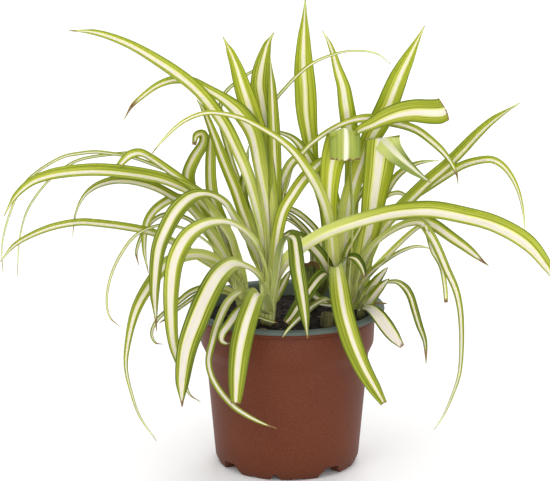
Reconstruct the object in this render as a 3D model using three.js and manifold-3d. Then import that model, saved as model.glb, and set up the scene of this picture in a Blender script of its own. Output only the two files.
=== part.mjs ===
// Potted spider plant: a nursery pot filled with dark soil, and the rosettes of long striped leaves
// that grow from it. Millimetres, +Z up, the pot's foot on z = 0 and its axis on the Z axis.
// -Y is the side the plant is seen from, +X its right-hand side.
import * as THREE from "three";
import Module from "manifold-3d";

const wasm = await Module();
wasm.setup();

// Pot, from the foot up
const POT_SIDES = 48;
const WALL = 1.0;
const FOOT_R = 42.5;
const FOOT_CHAMFER_R = 44.5;
const FOOT_CHAMFER_Z = 5;
const BODY_TOP_R = 50.3;
const BODY_TOP_Z = 70;
const COLLAR_R = 53.5;
const COLLAR_Z = 77;
const COLLAR_TOP_R = 54.3;
const LIP_R = 60;
const LIP_UNDER_Z = 97;
const LIP_TOP_Z = 99.5;
const PAD_R = 27;
const PAD_SLOPE = 3;
const CHANNEL_Z = 5;
const CHANNEL_OUT_R = 37;
const CHANNEL_SLOPE = 1.5;
const FLOOR_Z = 7.2;
const FLOOR_CORNER = 0.6;
const PAD_INSET = 0.8;
const LIP_LOW_EDGE = 0.7;
const LIP_TOP_EDGE_Z = 0.9;
const LIP_TOP_EDGE_R = 1.2;
const MOUTH_ROUND_R = 1;
const MOUTH_ROUND_Z = 1.6;

// Notches in the foot: where the first one is and how wide it is at z = 0, in degrees from the front,
// positive to the right, then its depth and the share of its width that is left at its top
const NOTCHES_OF_A_KIND = 4;
const WIDE_NOTCHES = { first: 38, width: 24, depth: 6.2, topShare: 0.5 };
const V_NOTCHES = { first: -9.5, width: 9.5, depth: 3.6, topShare: 0.3 };
const SHALLOW_NICKS = { first: -28, width: 8, depth: 1, topShare: 0.6 };
const CUTTER_NEAR_R = 34;
const CUTTER_FAR_R = 50;
const CUTTER_FOOT_Z = -1;

// Soil
const SOIL_Z = 90.8;
const SOIL_GAP = 0.35;
const SOIL_INSET = 0.4;
const COLLAR_STEP_Z = 1.5;
const SWELL = 0.8;
const SOIL_SIDES = 32;
const SOIL_RINGS = 4;
const HOLE_GAP = 0.4;
const HOLE_FLOOR_Z = 84;
const PEG_FOOT_Z = 84.5;
const PEG_TOP_Z = 95;
const PEG_SIDES = 10;
const MERGE_WITHIN = 0.1;

// Leaves
const BLADE_THICK = 0.8;
const BLADE_FOLD = 0.26;
const LEAST_WIDTH = 1.1;
const LONG_SPAN = 30;
const LEAST_BEND = THREE.MathUtils.degToRad(8);
const SECTION = 6;
const SIDE_ROLL = 50;

// The eye that the leaf routes are laid out from: a sheet stands upright through the middle of the
// foot, square to the line of sight, and a route point is given as across and up on that sheet.
const EYE_TILT = THREE.MathUtils.degToRad(14.7);
const EYE = new THREE.Vector3(-7.5, -1706.6, 588.1);

const rad = THREE.MathUtils.degToRad;
const TO_EYE = new THREE.Vector3(0, -Math.cos(EYE_TILT), Math.sin(EYE_TILT));

// The point at a depth (y, negative towards the eye) that is seen at a place on the sheet.
function onSight(across, up, depth) {
  const sheet = new THREE.Vector3(across, up * Math.sin(EYE_TILT), up * Math.cos(EYE_TILT));
  const share = (depth - EYE.y) / (sheet.y - EYE.y);
  return EYE.clone().lerp(sheet, share);
}

function solidOf(geometry) {
  const mesh = new wasm.Mesh({
    numProp: 3,
    vertProperties: new Float32Array(geometry.points.flat()),
    triVerts: new Uint32Array(geometry.triangles.flat()),
  });
  return new wasm.Manifold(mesh);
}

function meshOf(name, solid, material) {
  const made = solid.getMesh();
  const geometry = new THREE.BufferGeometry();
  geometry.setAttribute("position", new THREE.BufferAttribute(made.vertProperties, 3));
  geometry.setIndex(new THREE.BufferAttribute(made.triVerts, 1));
  geometry.computeVertexNormals();
  const mesh = new THREE.Mesh(geometry, material);
  mesh.name = name;
  return mesh;
}

// A body turned about the Z axis from an outline of [radius, z] that starts and ends on the axis.
function turned(outline, sides) {
  const points = [];
  const triangles = [];
  const rows = [];
  for (const [radius, z] of outline) {
    const row = [];
    const count = radius === 0 ? 1 : sides;
    for (let i = 0; i < count; i += 1) {
      const angle = (2 * Math.PI * i) / sides;
      row.push(points.length);
      points.push([radius * Math.cos(angle), radius * Math.sin(angle), z]);
    }
    rows.push(row);
  }
  for (let k = 0; k + 1 < rows.length; k += 1) {
    const low = rows[k];
    const high = rows[k + 1];
    for (let i = 0; i < sides; i += 1) {
      const a = low[i % low.length];
      const b = low[(i + 1) % low.length];
      const c = high[(i + 1) % high.length];
      const d = high[i % high.length];
      if (a !== b) {
        triangles.push([a, b, c]);
      }
      if (c !== d) {
        triangles.push([a, c, d]);
      }
    }
  }
  return solidOf({ points, triangles });
}

// A wedge that stands under the foot ring and cuts into its edge: wide at the foot, narrow on top.
function notchCutter({ width, depth, topShare }, angle) {
  const half = Math.tan(rad(width / 2));
  const halfLow = half * (1 - ((1 - topShare) * CUTTER_FOOT_Z) / depth);
  const halfHigh = half * topShare;
  const points = [];
  for (const radius of [CUTTER_NEAR_R, CUTTER_FAR_R]) {
    for (const side of [-radius, radius]) {
      points.push([side * halfLow, -radius, CUTTER_FOOT_Z], [side * halfHigh, -radius, depth]);
    }
  }
  const wedge = wasm.Manifold.hull(points);
  return wedge.rotate([0, 0, angle]);
}

function makePot() {
  const outside = [
    [0, 0],
    [PAD_R, 0],
    [PAD_R + PAD_SLOPE, CHANNEL_Z],
    [CHANNEL_OUT_R - CHANNEL_SLOPE, CHANNEL_Z],
    [CHANNEL_OUT_R, 0],
    [FOOT_R, 0],
    [FOOT_CHAMFER_R, FOOT_CHAMFER_Z],
    [BODY_TOP_R, BODY_TOP_Z],
    [COLLAR_R, COLLAR_Z],
    [COLLAR_TOP_R, LIP_UNDER_Z],
    [LIP_R - LIP_LOW_EDGE, LIP_UNDER_Z],
    [LIP_R, LIP_UNDER_Z + LIP_LOW_EDGE],
    [LIP_R, LIP_TOP_Z - LIP_TOP_EDGE_Z],
    [LIP_R - LIP_TOP_EDGE_R, LIP_TOP_Z],
    [COLLAR_TOP_R + MOUTH_ROUND_R, LIP_TOP_Z],
    [COLLAR_TOP_R - WALL, LIP_TOP_Z - MOUTH_ROUND_Z],
    [COLLAR_R - WALL, COLLAR_Z + 0.5],
    [BODY_TOP_R - WALL, BODY_TOP_Z + 0.4],
    [FOOT_CHAMFER_R - WALL, FLOOR_Z + FLOOR_CORNER],
    [FOOT_CHAMFER_R - WALL - FLOOR_CORNER, FLOOR_Z],
    [PAD_R + PAD_SLOPE - WALL, FLOOR_Z],
    [PAD_R - PAD_INSET, WALL],
    [0, WALL],
  ];
  let pot = turned(outside, POT_SIDES);
  for (const kind of [WIDE_NOTCHES, V_NOTCHES, SHALLOW_NICKS]) {
    for (let i = 0; i < NOTCHES_OF_A_KIND; i += 1) {
      pot = pot.subtract(notchCutter(kind, kind.first + (360 * i) / NOTCHES_OF_A_KIND));
    }
  }
  return pot;
}

// The height of the soil's surface: low swells that die out at the wall.
function soilHeight(x, y) {
  const edge = 1 - Math.pow(Math.hypot(x, y) / COLLAR_TOP_R, 4);
  const swell = Math.sin(x / 8.5 + 0.6) * Math.cos(y / 7.2) + 0.5 * Math.sin((x + y) / 4.3 + 1.1);
  return SOIL_Z + SWELL * edge * swell;
}

function makeSoil() {
  const slope = (COLLAR_TOP_R - COLLAR_R) / (LIP_UNDER_Z - COLLAR_Z);
  const topR = COLLAR_R + slope * (SOIL_Z - COLLAR_Z) - WALL - SOIL_GAP;
  const outline = [
    [0, WALL + SOIL_GAP],
    [PAD_R - PAD_INSET - SOIL_INSET, WALL + SOIL_GAP],
    [PAD_R + PAD_SLOPE - WALL - SOIL_INSET, FLOOR_Z + SOIL_GAP],
    [FOOT_CHAMFER_R - WALL - FLOOR_CORNER - SOIL_INSET, FLOOR_Z + SOIL_GAP],
    [BODY_TOP_R - WALL - SOIL_GAP - SOIL_INSET, BODY_TOP_Z],
    [COLLAR_R - WALL - SOIL_GAP - SOIL_INSET, COLLAR_Z + COLLAR_STEP_Z],
  ];
  for (let i = 0; i < SOIL_RINGS; i += 1) {
    outline.push([topR * (1 - i / SOIL_RINGS), SOIL_Z]);
  }
  outline.push([0, SOIL_Z]);
  const flat = turned(outline, SOIL_SIDES);
  return flat.warp((point) => {
    if (point[2] > SOIL_Z - 1) {
      point[2] = soilHeight(point[0], point[1]);
    }
  });
}

// A blade along a route: a shallow V in section, so that its halves stand up from the midrib, and
// triangles split alike on both faces. The upper face starts level across the leaf's own heading
// and is rolled towards the eye: by SIDE_ROLL for a leaf that goes sideways, or by the given shares,
// at root and tip, of the angle that turns an upright blade flat to the eye.
function bladeSolid(route, facing) {
  const places = route.map(([across, up, depth]) => onSight(across, up, depth));
  const curve = new THREE.CatmullRomCurve3(places, false, "centripetal");
  const heading = places[places.length - 1].clone().sub(places[0]).setZ(0).normalize();
  const level = new THREE.Vector3(-heading.y, heading.x, 0);
  const turn = level.dot(TO_EYE) < 0 ? 1 : -1;
  const upright = Math.acos(heading.y);
  const side = rad(SIDE_ROLL) * Math.abs(heading.x);
  const [rollRoot, rollTip] = facing ? facing.map((share) => share * upright) : [side, side];
  const points = [];
  for (const station of stationsAlong(places)) {
    const centre = curve.getPoint(station / (places.length - 1));
    const along = curve.getTangent(station / (places.length - 1));
    const width = Math.max(LEAST_WIDTH, widthAt(route, station));
    const share = station / (places.length - 1);
    const angle = turn * THREE.MathUtils.lerp(rollRoot, rollTip, share);
    const across = level.clone().addScaledVector(along, -level.dot(along)).normalize();
    across.applyAxisAngle(along, angle);
    const up = along.clone().cross(across);
    for (const lift of [BLADE_THICK / 2, -BLADE_THICK / 2]) {
      for (const hand of [-1, 0, 1]) {
        const fold = (Math.abs(hand) - 0.5) * BLADE_FOLD * width;
        const point = centre.clone().addScaledVector(across, (hand * width) / 2);
        point.addScaledVector(up, lift + fold);
        points.push(point.toArray());
      }
    }
  }
  return solidOf({ points, triangles: bladeTriangles(points.length / SECTION - 1) });
}

// Where sections stand: at each route point where the leaf bends, and between two far apart.
function stationsAlong(places) {
  const stations = [0];
  let last = 0;
  for (let k = 1; k < places.length; k += 1) {
    const isNear = k + 1 < places.length && places[k + 1].distanceTo(places[last]) < LONG_SPAN;
    if (isNear && bendAt(places, last, k) < LEAST_BEND) {
      continue;
    }
    const pieces = Math.max(1, Math.round(places[k].distanceTo(places[last]) / LONG_SPAN));
    for (let j = 1; j <= pieces; j += 1) {
      stations.push(last + ((k - last) * j) / pieces);
    }
    last = k;
  }
  return stations;
}

function bendAt(places, last, k) {
  const before = places[k].clone().sub(places[last]);
  const after = places[k + 1].clone().sub(places[k]);
  return before.angleTo(after);
}

function widthAt(route, station) {
  const before = Math.min(Math.floor(station), route.length - 2);
  return THREE.MathUtils.lerp(route[before][3], route[before + 1][3], station - before);
}

// A section has six points: three on the upper face, three on the lower.
function bladeTriangles(steps) {
  const triangles = [];
  for (let i = 0; i < steps; i += 1) {
    const at = SECTION * i;
    const next = at + SECTION;
    for (const k of [0, 1]) {
      triangles.push([at + k, next + k, next + k + 1], [at + k, next + k + 1, at + k + 1]);
      triangles.push([at + k + 3, next + k + 4, next + k + 3], [at + k + 3, at + k + 4, next + k + 4]);
    }
    triangles.push([at, at + 3, next + 3], [at, next + 3, next]);
    triangles.push([at + 2, next + 2, next + 5], [at + 2, next + 5, at + 5]);
  }
  const end = SECTION * steps;
  for (const k of [0, 1]) {
    triangles.push([k, k + 1, k + 4], [k, k + 4, k + 3]);
    triangles.push([end + k, end + k + 4, end + k + 1], [end + k, end + k + 3, end + k + 4]);
  }
  return triangles;
}

// The stub a rosette's leaves grow from: a round peg that stands in the soil, then sheaths that lean
// and taper along rings of [across, up, depth, radius across, radius in depth].
function stubSolid(peg, rings) {
  const points = [];
  for (let i = 0; i < PEG_SIDES; i += 1) {
    const angle = (2 * Math.PI * i) / PEG_SIDES;
    const x = peg.x + peg.radius * Math.cos(angle);
    const y = peg.y + peg.radius * Math.sin(angle);
    points.push([x, y, PEG_FOOT_Z], [x, y, PEG_TOP_Z]);
  }
  let solid = wasm.Manifold.hull(points);
  let below = null;
  for (const [across, up, depth, wide, deep] of rings) {
    const centre = onSight(across, up, depth);
    const ring = [];
    for (let i = 0; i < PEG_SIDES; i += 1) {
      const angle = (2 * Math.PI * i) / PEG_SIDES;
      ring.push([centre.x + wide * Math.cos(angle), centre.y + deep * Math.sin(angle), centre.z]);
    }
    if (below) {
      solid = solid.add(wasm.Manifold.hull([...below, ...ring]));
    }
    below = ring;
  }
  return solid;
}

function leafMaterial(colour) {
  return new THREE.MeshStandardMaterial({ color: colour, roughness: 0.45, metalness: 0, flatShading: true });
}

const potMaterial = new THREE.MeshStandardMaterial({ color: "#8a4a33", roughness: 0.5, metalness: 0 });
const soilMaterial = new THREE.MeshStandardMaterial({ color: "#2b211b", roughness: 1, metalness: 0 });
const stubMaterial = new THREE.MeshStandardMaterial({ color: "#6b4d33", roughness: 0.9, metalness: 0 });

// Leaves, one row each: [what it is, shares turned to the eye at root and tip or null, route of
// [across, up, depth, width] from near the root to the tip].
const FRONT_LEAVES = [
  ["broad arch down the front left", null, [
    [-11.5, 98, -15, 9.5], [-14, 108, -18, 9.5], [-19, 115, -23, 8], [-25, 119, -29, 6],
    [-33, 121, -36, 10], [-42, 114, -46, 13], [-50, 100, -54, 14], [-56, 86, -60, 14],
    [-62, 69, -63, 12.5], [-65, 50, -64, 9], [-65.5, 40, -63.5, 6], [-65.5, 32, -63, 1.5]]],
  ["long arch ending in a thread", null, [
    [-13.5, 118, -14, 9.5], [-17, 130, -17, 9.5], [-26, 141, -22, 7.5], [-37, 147, -28, 5],
    [-50, 146, -35, 8], [-61, 139, -41, 10.5], [-69, 125, -46, 11], [-72, 106, -49, 10], [-72, 84, -50, 8],
    [-70, 68, -50, 6], [-66, 56, -49, 4], [-61, 40, -48, 1.5], [-54, 35, -46, 1]]],
  ["high arch with a turned back", null, [
    [-13, 108, -12, 9.5], [-18, 125, -10, 9.5], [-27, 140, -10, 9], [-34, 151, -14, 8.5],
    [-39, 159, -18, 7], [-49, 164.5, -24, 5], [-59, 163, -30, 8.5], [-68, 155, -35, 11],
    [-75, 143, -39, 10.5], [-80, 130, -41, 9.5], [-82.5, 104, -42, 6.5], [-82, 90, -42, 3],
    [-81.5, 79, -42, 1.2]]],
  ["blunt leaf over the rim", null, [
    [-14, 99, -28, 8], [-17, 103, -42, 10], [-19.5, 101, -52, 11], [-22.5, 93, -60, 12],
    [-25.6, 84, -64, 13], [-29, 69, -66, 13], [-31, 52, -66, 11], [-32, 34, -64, 7]]],
  ["thin leaf curled under", null, [
    [-13, 95, -16, 4], [-20, 102, -24, 4.5], [-30, 103, -36, 5], [-37, 97, -44, 5], [-42.5, 86, -50, 5],
    [-46.5, 73, -54, 4.5], [-49, 61, -56, 4], [-47.5, 52, -57, 3.8], [-42, 42, -58, 3.8],
    [-33, 32, -58, 3.6], [-25, 26.5, -58, 3.2], [-15, 21.5, -57.5, 2], [-6.4, 18.4, -57, 1.2]]],
  ["small leaf at the rim", null, [
    [-20, 94, -30, 4.5], [-26.5, 94.5, -42, 5], [-32, 89.5, -50, 5.5], [-36.5, 83, -55, 5.5],
    [-40.5, 77.5, -58, 5], [-40.8, 73.5, -59, 3.5], [-37.5, 71.5, -58.5, 3], [-33.5, 72, -57, 1]]],
  ["leaflet on the soil", null, [
    [-17, 87.5, -16, 3], [-19, 88, -20, 3], [-16, 87, -25, 2.5], [-12, 85.5, -27, 2.5],
    [-5.6, 84, -31, 1.2]]],
  ["tall leaf to the far left", null, [
    [-13, 108, -13, 11], [-13.5, 125, -12, 11], [-15.5, 140, -11, 10], [-19, 155, -11, 11],
    [-25, 175, -12, 11.5], [-33, 194, -14, 11.5], [-40, 208, -16, 11], [-50, 222, -20, 11],
    [-60, 232.5, -24, 10], [-80, 247, -30, 8.5], [-100, 258.5, -35, 6.5], [-120, 265.5, -40, 4],
    [-136.5, 267, -44, 1]]],
  ["tall leaf with a bent tip", null, [
    [-11, 112, -12, 11], [-11, 140, -8, 11], [-13, 160, -6, 12.5], [-17, 180, -4, 14], [-22, 203, -3, 14],
    [-30, 215, -4, 13], [-40, 224, -6, 8], [-50, 230, -9, 6.5], [-60, 235, -12, 6], [-70, 236, -15, 5.5],
    [-80, 233, -18, 4.5], [-90, 226, -21, 3.5], [-97, 219.5, -23, 2.5], [-102, 211, -24, 1]]],
  ["upright leaf leaning left", [0.9, 0.9], [
    [-10, 116, -11, 11], [-10.5, 140, -6, 11], [-12, 165, -2, 11.5], [-15, 187, 2, 12.5],
    [-19.5, 205, 4, 12.5], [-24, 220, 5, 12], [-28, 232, 6, 10.5], [-32, 245, 7, 7.5], [-36, 255, 7, 4.5],
    [-40, 263, 7, 1]]],
  ["upright leaf with a bowed top", [0.9, 0.9], [
    [-8.5, 118, -9, 10.5], [-8, 150, -2, 10.5], [-9.5, 180, 4, 10.5], [-13, 205, 9, 10.5],
    [-15.5, 222, 12, 11.5], [-17, 233, 14, 11.5], [-16, 243, 16, 10.5], [-14, 252, 18, 7.5],
    [-12, 259, 19, 4.5], [-8, 266, 20, 1]]],
  ["upright slender leaf", [0.9, 0.9], [
    [-7.5, 125, -8, 6], [-7.5, 160, -3, 8], [-7.5, 185, 0, 8], [-8.3, 205, 2, 8], [-9, 220, 3, 7],
    [-9.8, 236, 4, 5], [-10.5, 250, 5, 1.2]]],
  ["thin leaf that swings to the right", null, [
    [-10, 118, -6, 4], [-12, 150, 4, 5], [-15, 180, 12, 5], [-17, 198, 15, 5], [-16, 207, 16, 4.5],
    [-12, 216, 17, 3.5], [-6, 225, 15, 2.5], [0, 232, 12, 2.5], [10, 242, 6, 2.5], [20, 248.5, 2, 2],
    [38, 254, -4, 1.5], [56, 252.5, -10, 1], [65, 246, -12, 1]]],
  ["thin hooked leaf", null, [
    [-12, 118, -6, 3], [-22, 150, 4, 3.5], [-36, 190, 12, 3.5], [-42, 215, 16, 3], [-39, 227.5, 18, 2.5],
    [-30, 236, 20, 2.2], [-21, 242, 21, 1.8], [-15, 245, 21, 1]]],
  ["straight leaf leaning left", [0.75, 0.75], [
    [-14, 110, -10, 8], [-17, 125, -6, 8], [-23, 142, -4, 8], [-28, 155, -4, 8], [-32, 167, -5, 8],
    [-37, 179, -6, 7.5], [-41.5, 190, -8, 7], [-46, 202, -10, 5.5], [-52.5, 218, -13, 3],
    [-56.5, 224, -14, 1]]],
  ["short upright leaf", [0.85, 0.85], [
    [-13, 115, -10, 9], [-19, 128, -6, 9], [-24, 141, -2, 7], [-27, 155, 0, 7], [-27.5, 168, 2, 6],
    [-26, 180, 4, 4.5], [-24, 195, 6, 1.2]]],
  ["short leaf leaning right", [0.9, 0.9], [
    [-10, 105, -14, 6], [-8, 122, -13, 7], [-5.5, 142, -12, 7.5], [-2, 155, -11, 7.5], [4, 165, -9, 7.5],
    [9.5, 173, -6, 7.5], [15, 179, -1, 7.5], [20, 184, 5, 6.5], [26, 190, 9, 1.2]]],
  ["long thin leaf with a curled tip", [0.6, 0.65], [
    [-8, 108, -12, 4.5], [-6.5, 130, -9, 6], [-6.5, 150, -5, 6.5], [-4, 167, -1, 6.5], [-1, 177, 2, 6.5],
    [3.5, 185, 4, 6], [8.3, 189, 5, 4], [15, 196, 4, 3.5], [26, 204, 1, 3.5], [33.5, 208, -2, 3.5],
    [42, 211, -2, 4.5], [50, 212, -3, 6], [65, 209.5, -7, 6], [75, 207, -10, 5.5], [82, 204, -11.5, 5.5],
    [90, 198, -13, 5], [97, 191.5, -15, 4.5], [102, 185, -16, 3], [106, 177, -17, 2], [107, 170, -17, 1]]],
  ["great arch to the right", null, [
    [-10, 98, -14, 8.5], [-6, 113, -13, 9.5], [0, 123, -13, 9.5], [10, 131.5, -14, 9.5],
    [20, 138, -15, 9.5], [30, 142.5, -16, 9.5], [50, 149, -19, 10], [70, 153.5, -23, 11],
    [90, 154.5, -28, 11.5], [110, 151, -33, 11.5], [130, 145.5, -38, 11.5], [150, 134, -43, 11],
    [162, 120, -47, 7.5], [172, 103, -50, 1]]],
  ["broad arch down the front", null, [
    [-9, 98, -16, 6], [-6.5, 112, -18, 6.5], [-5, 124, -22, 7], [-3, 133, -26, 7], [0.5, 138.5, -31, 6.5],
    [4, 137, -38, 8], [5.5, 128, -46, 9], [6.5, 118, -53, 9.5], [8.5, 106, -59, 9], [11, 90, -64, 6.5],
    [13, 74.6, -66, 1.5]]],
  ["young leaf at the crown", null, [
    [-10, 95, -14, 4], [-6, 101, -13, 5], [-1.5, 110, -11, 5], [2, 117, -9, 2]]],
];

const LEFT_LEAVES = [
  ["upright leaf", [0.75, 0.75], [
    [-29, 115, 16, 7], [-38, 140, 14, 8], [-46, 160, 12, 8.5], [-48, 172, 11, 8], [-48.2, 190, 10, 7],
    [-47, 211, 10, 1.5]]],
  ["upright leaf with a curled tip", [0.75, 0.75], [
    [-32, 110, 20, 6.5], [-38, 120, 20, 7], [-52, 150, 20, 8], [-61, 168, 18, 9], [-62, 178, 16, 9],
    [-58, 188, 16, 8.5], [-52.3, 197.5, 17, 7], [-53, 202.3, 17, 5.5], [-56.5, 201.5, 16, 4.5],
    [-58, 195.5, 15.5, 3]]],
  ["leaf bent sharply at its top", null, [
    [-31, 115, 16, 8], [-39, 138, 12, 8], [-46, 152, 9, 8], [-53, 164, 5, 6.5], [-60, 169, 3, 6.5],
    [-68, 175, 0, 6.5], [-75, 180, -2, 6.5], [-85, 187, -5, 6], [-92, 190.3, -8, 6], [-98, 189, -10, 6],
    [-105, 182.5, -12, 4.5], [-111, 176, -14, 1.5]]],
  ["long level leaf", null, [
    [-29, 110, 17, 9], [-32, 125, 14, 9], [-36, 138, 11, 9], [-44, 150, 7, 8.5], [-52, 159, 3, 8.5],
    [-60, 166, 0, 9], [-70, 171, -4, 9], [-80, 174.5, -7, 9], [-100, 178, -13, 9], [-120, 179.5, -20, 9],
    [-140, 178, -26, 8], [-150, 176, -29, 7], [-160, 172, -32, 5.5], [-170, 163, -35, 3.5],
    [-177, 151, -37, 1]]],
  ["leaf with a hanging tip", [0.55, 0.14], [
    [-32, 112, 20, 9], [-39, 127, 18, 9], [-46, 138, 15, 9], [-54, 148, 11, 8], [-62, 157, 7, 8],
    [-72, 163, 3, 8], [-80, 167.5, 0, 8], [-90, 171, -3, 8], [-100, 172.8, -6, 7], [-110, 172.5, -9, 6.5],
    [-120, 169, -11, 5], [-127, 163, -13, 3], [-132, 152, -14, 2], [-134, 138, -14, 1.2]]],
  ["long leaf below the level one", null, [
    [-33, 108, 20, 7.5], [-40, 116, 19, 7.5], [-46, 120, 17, 7.5], [-55, 125, 13, 5.5],
    [-62, 129.5, 9, 5.5], [-71, 134.5, 4, 5.5], [-84, 140.5, -1, 5.5], [-100, 144, -6, 5.5],
    [-120, 146.5, -12, 5.5], [-130, 147, -15, 5], [-150, 143, -20, 4.5], [-170, 133, -25, 3],
    [-179.5, 122, -27, 1]]],
  ["thread leaf arching far left", null, [
    [-33, 125, 22, 2.5], [-48, 155, 20, 2.5], [-62, 170, 16, 2.5], [-72, 177.5, 12, 2.5],
    [-80, 181.5, 9, 2.5], [-90, 185.5, 6, 2.5], [-100, 188.5, 3, 2.5], [-110, 190, 0, 2.5],
    [-120, 191, -3, 2.5], [-130, 190, -6, 2.5], [-140, 188, -9, 2], [-157, 178, -13, 2],
    [-165, 170, -15, 1.5], [-173, 153, -17, 1.5], [-178, 133, -18, 1], [-177.5, 115, -18, 1]]],
  ["second thread leaf", null, [
    [-36, 128, 24, 2], [-54, 160, 24, 2], [-72, 179, 20, 2], [-85, 188, 15, 2], [-93, 190.5, 12, 2],
    [-110, 189.5, 7, 2], [-130, 186, 2, 2], [-140, 180.5, 0, 2], [-150, 172, -2, 1.5],
    [-162, 155, -5, 1.5], [-167, 137, -6, 1], [-168.5, 113, -6, 1]]],
  ["thread leaf hanging at the left", null, [
    [-34, 115, 14, 2.4], [-48, 133, 6, 2.4], [-62, 142, 1, 2.2], [-75, 145.5, -4, 2.2],
    [-83, 144.5, -7, 2], [-95, 138.5, -13, 2], [-105, 125, -17, 1.8], [-111, 110, -20, 1.6],
    [-112.5, 95, -22, 1.4], [-110, 87, -23, 1.2], [-104, 82, -24, 1]]],
  ["short arch behind", null, [
    [-36, 125, 26, 5], [-50, 148, 28, 6], [-62, 160, 24, 6], [-70, 162, 20, 6], [-77, 159, 16, 6],
    [-84, 153, 12, 5.5], [-88, 145, 9, 5], [-89, 130, 7, 3], [-86.5, 115, 6, 1]]],
  ["thin short arch behind", null, [
    [-40, 125, 28, 3], [-60, 148, 30, 3], [-76, 152, 24, 3], [-86, 146, 18, 3], [-91, 138, 14, 2.6],
    [-94, 128, 12, 2], [-92.5, 120, 11, 1]]],
  ["arch hanging left of the pot", null, [
    [-28, 108, 15, 8], [-36, 118, 10, 8], [-46, 124.5, 5, 8.5], [-55, 126.5, 1, 8.5],
    [-65, 125.5, -4, 8.5], [-75, 121, -9, 8.5], [-85, 109, -14, 8], [-94, 93, -19, 6.5], [-99, 74, -22, 4],
    [-100.6, 57, -24, 2.5], [-97, 40, -25, 1.8], [-92, 26, -25, 1.4], [-81.5, 10.5, -24, 1]]],
  ["small hooked leaf", null, [
    [-33, 103, 10, 4], [-42, 106.5, 2, 4], [-51, 106.5, -4, 4], [-60, 103.5, -9, 4], [-66, 99, -12, 3.5],
    [-73, 93, -15, 3], [-78.5, 89, -17, 2.6], [-83, 83, -18, 2.2], [-84.5, 77, -18, 2],
    [-82, 72, -18, 1.6], [-77, 71, -18, 1]]],
  ["small straight leaf", null, [
    [-36, 102, 12, 3], [-46, 104, 4, 3], [-55, 102, -2, 3], [-62, 97.5, -6, 3], [-68, 93, -9, 2.6],
    [-74, 88, -11, 2], [-80, 84, -12, 1]]],
];

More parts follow.
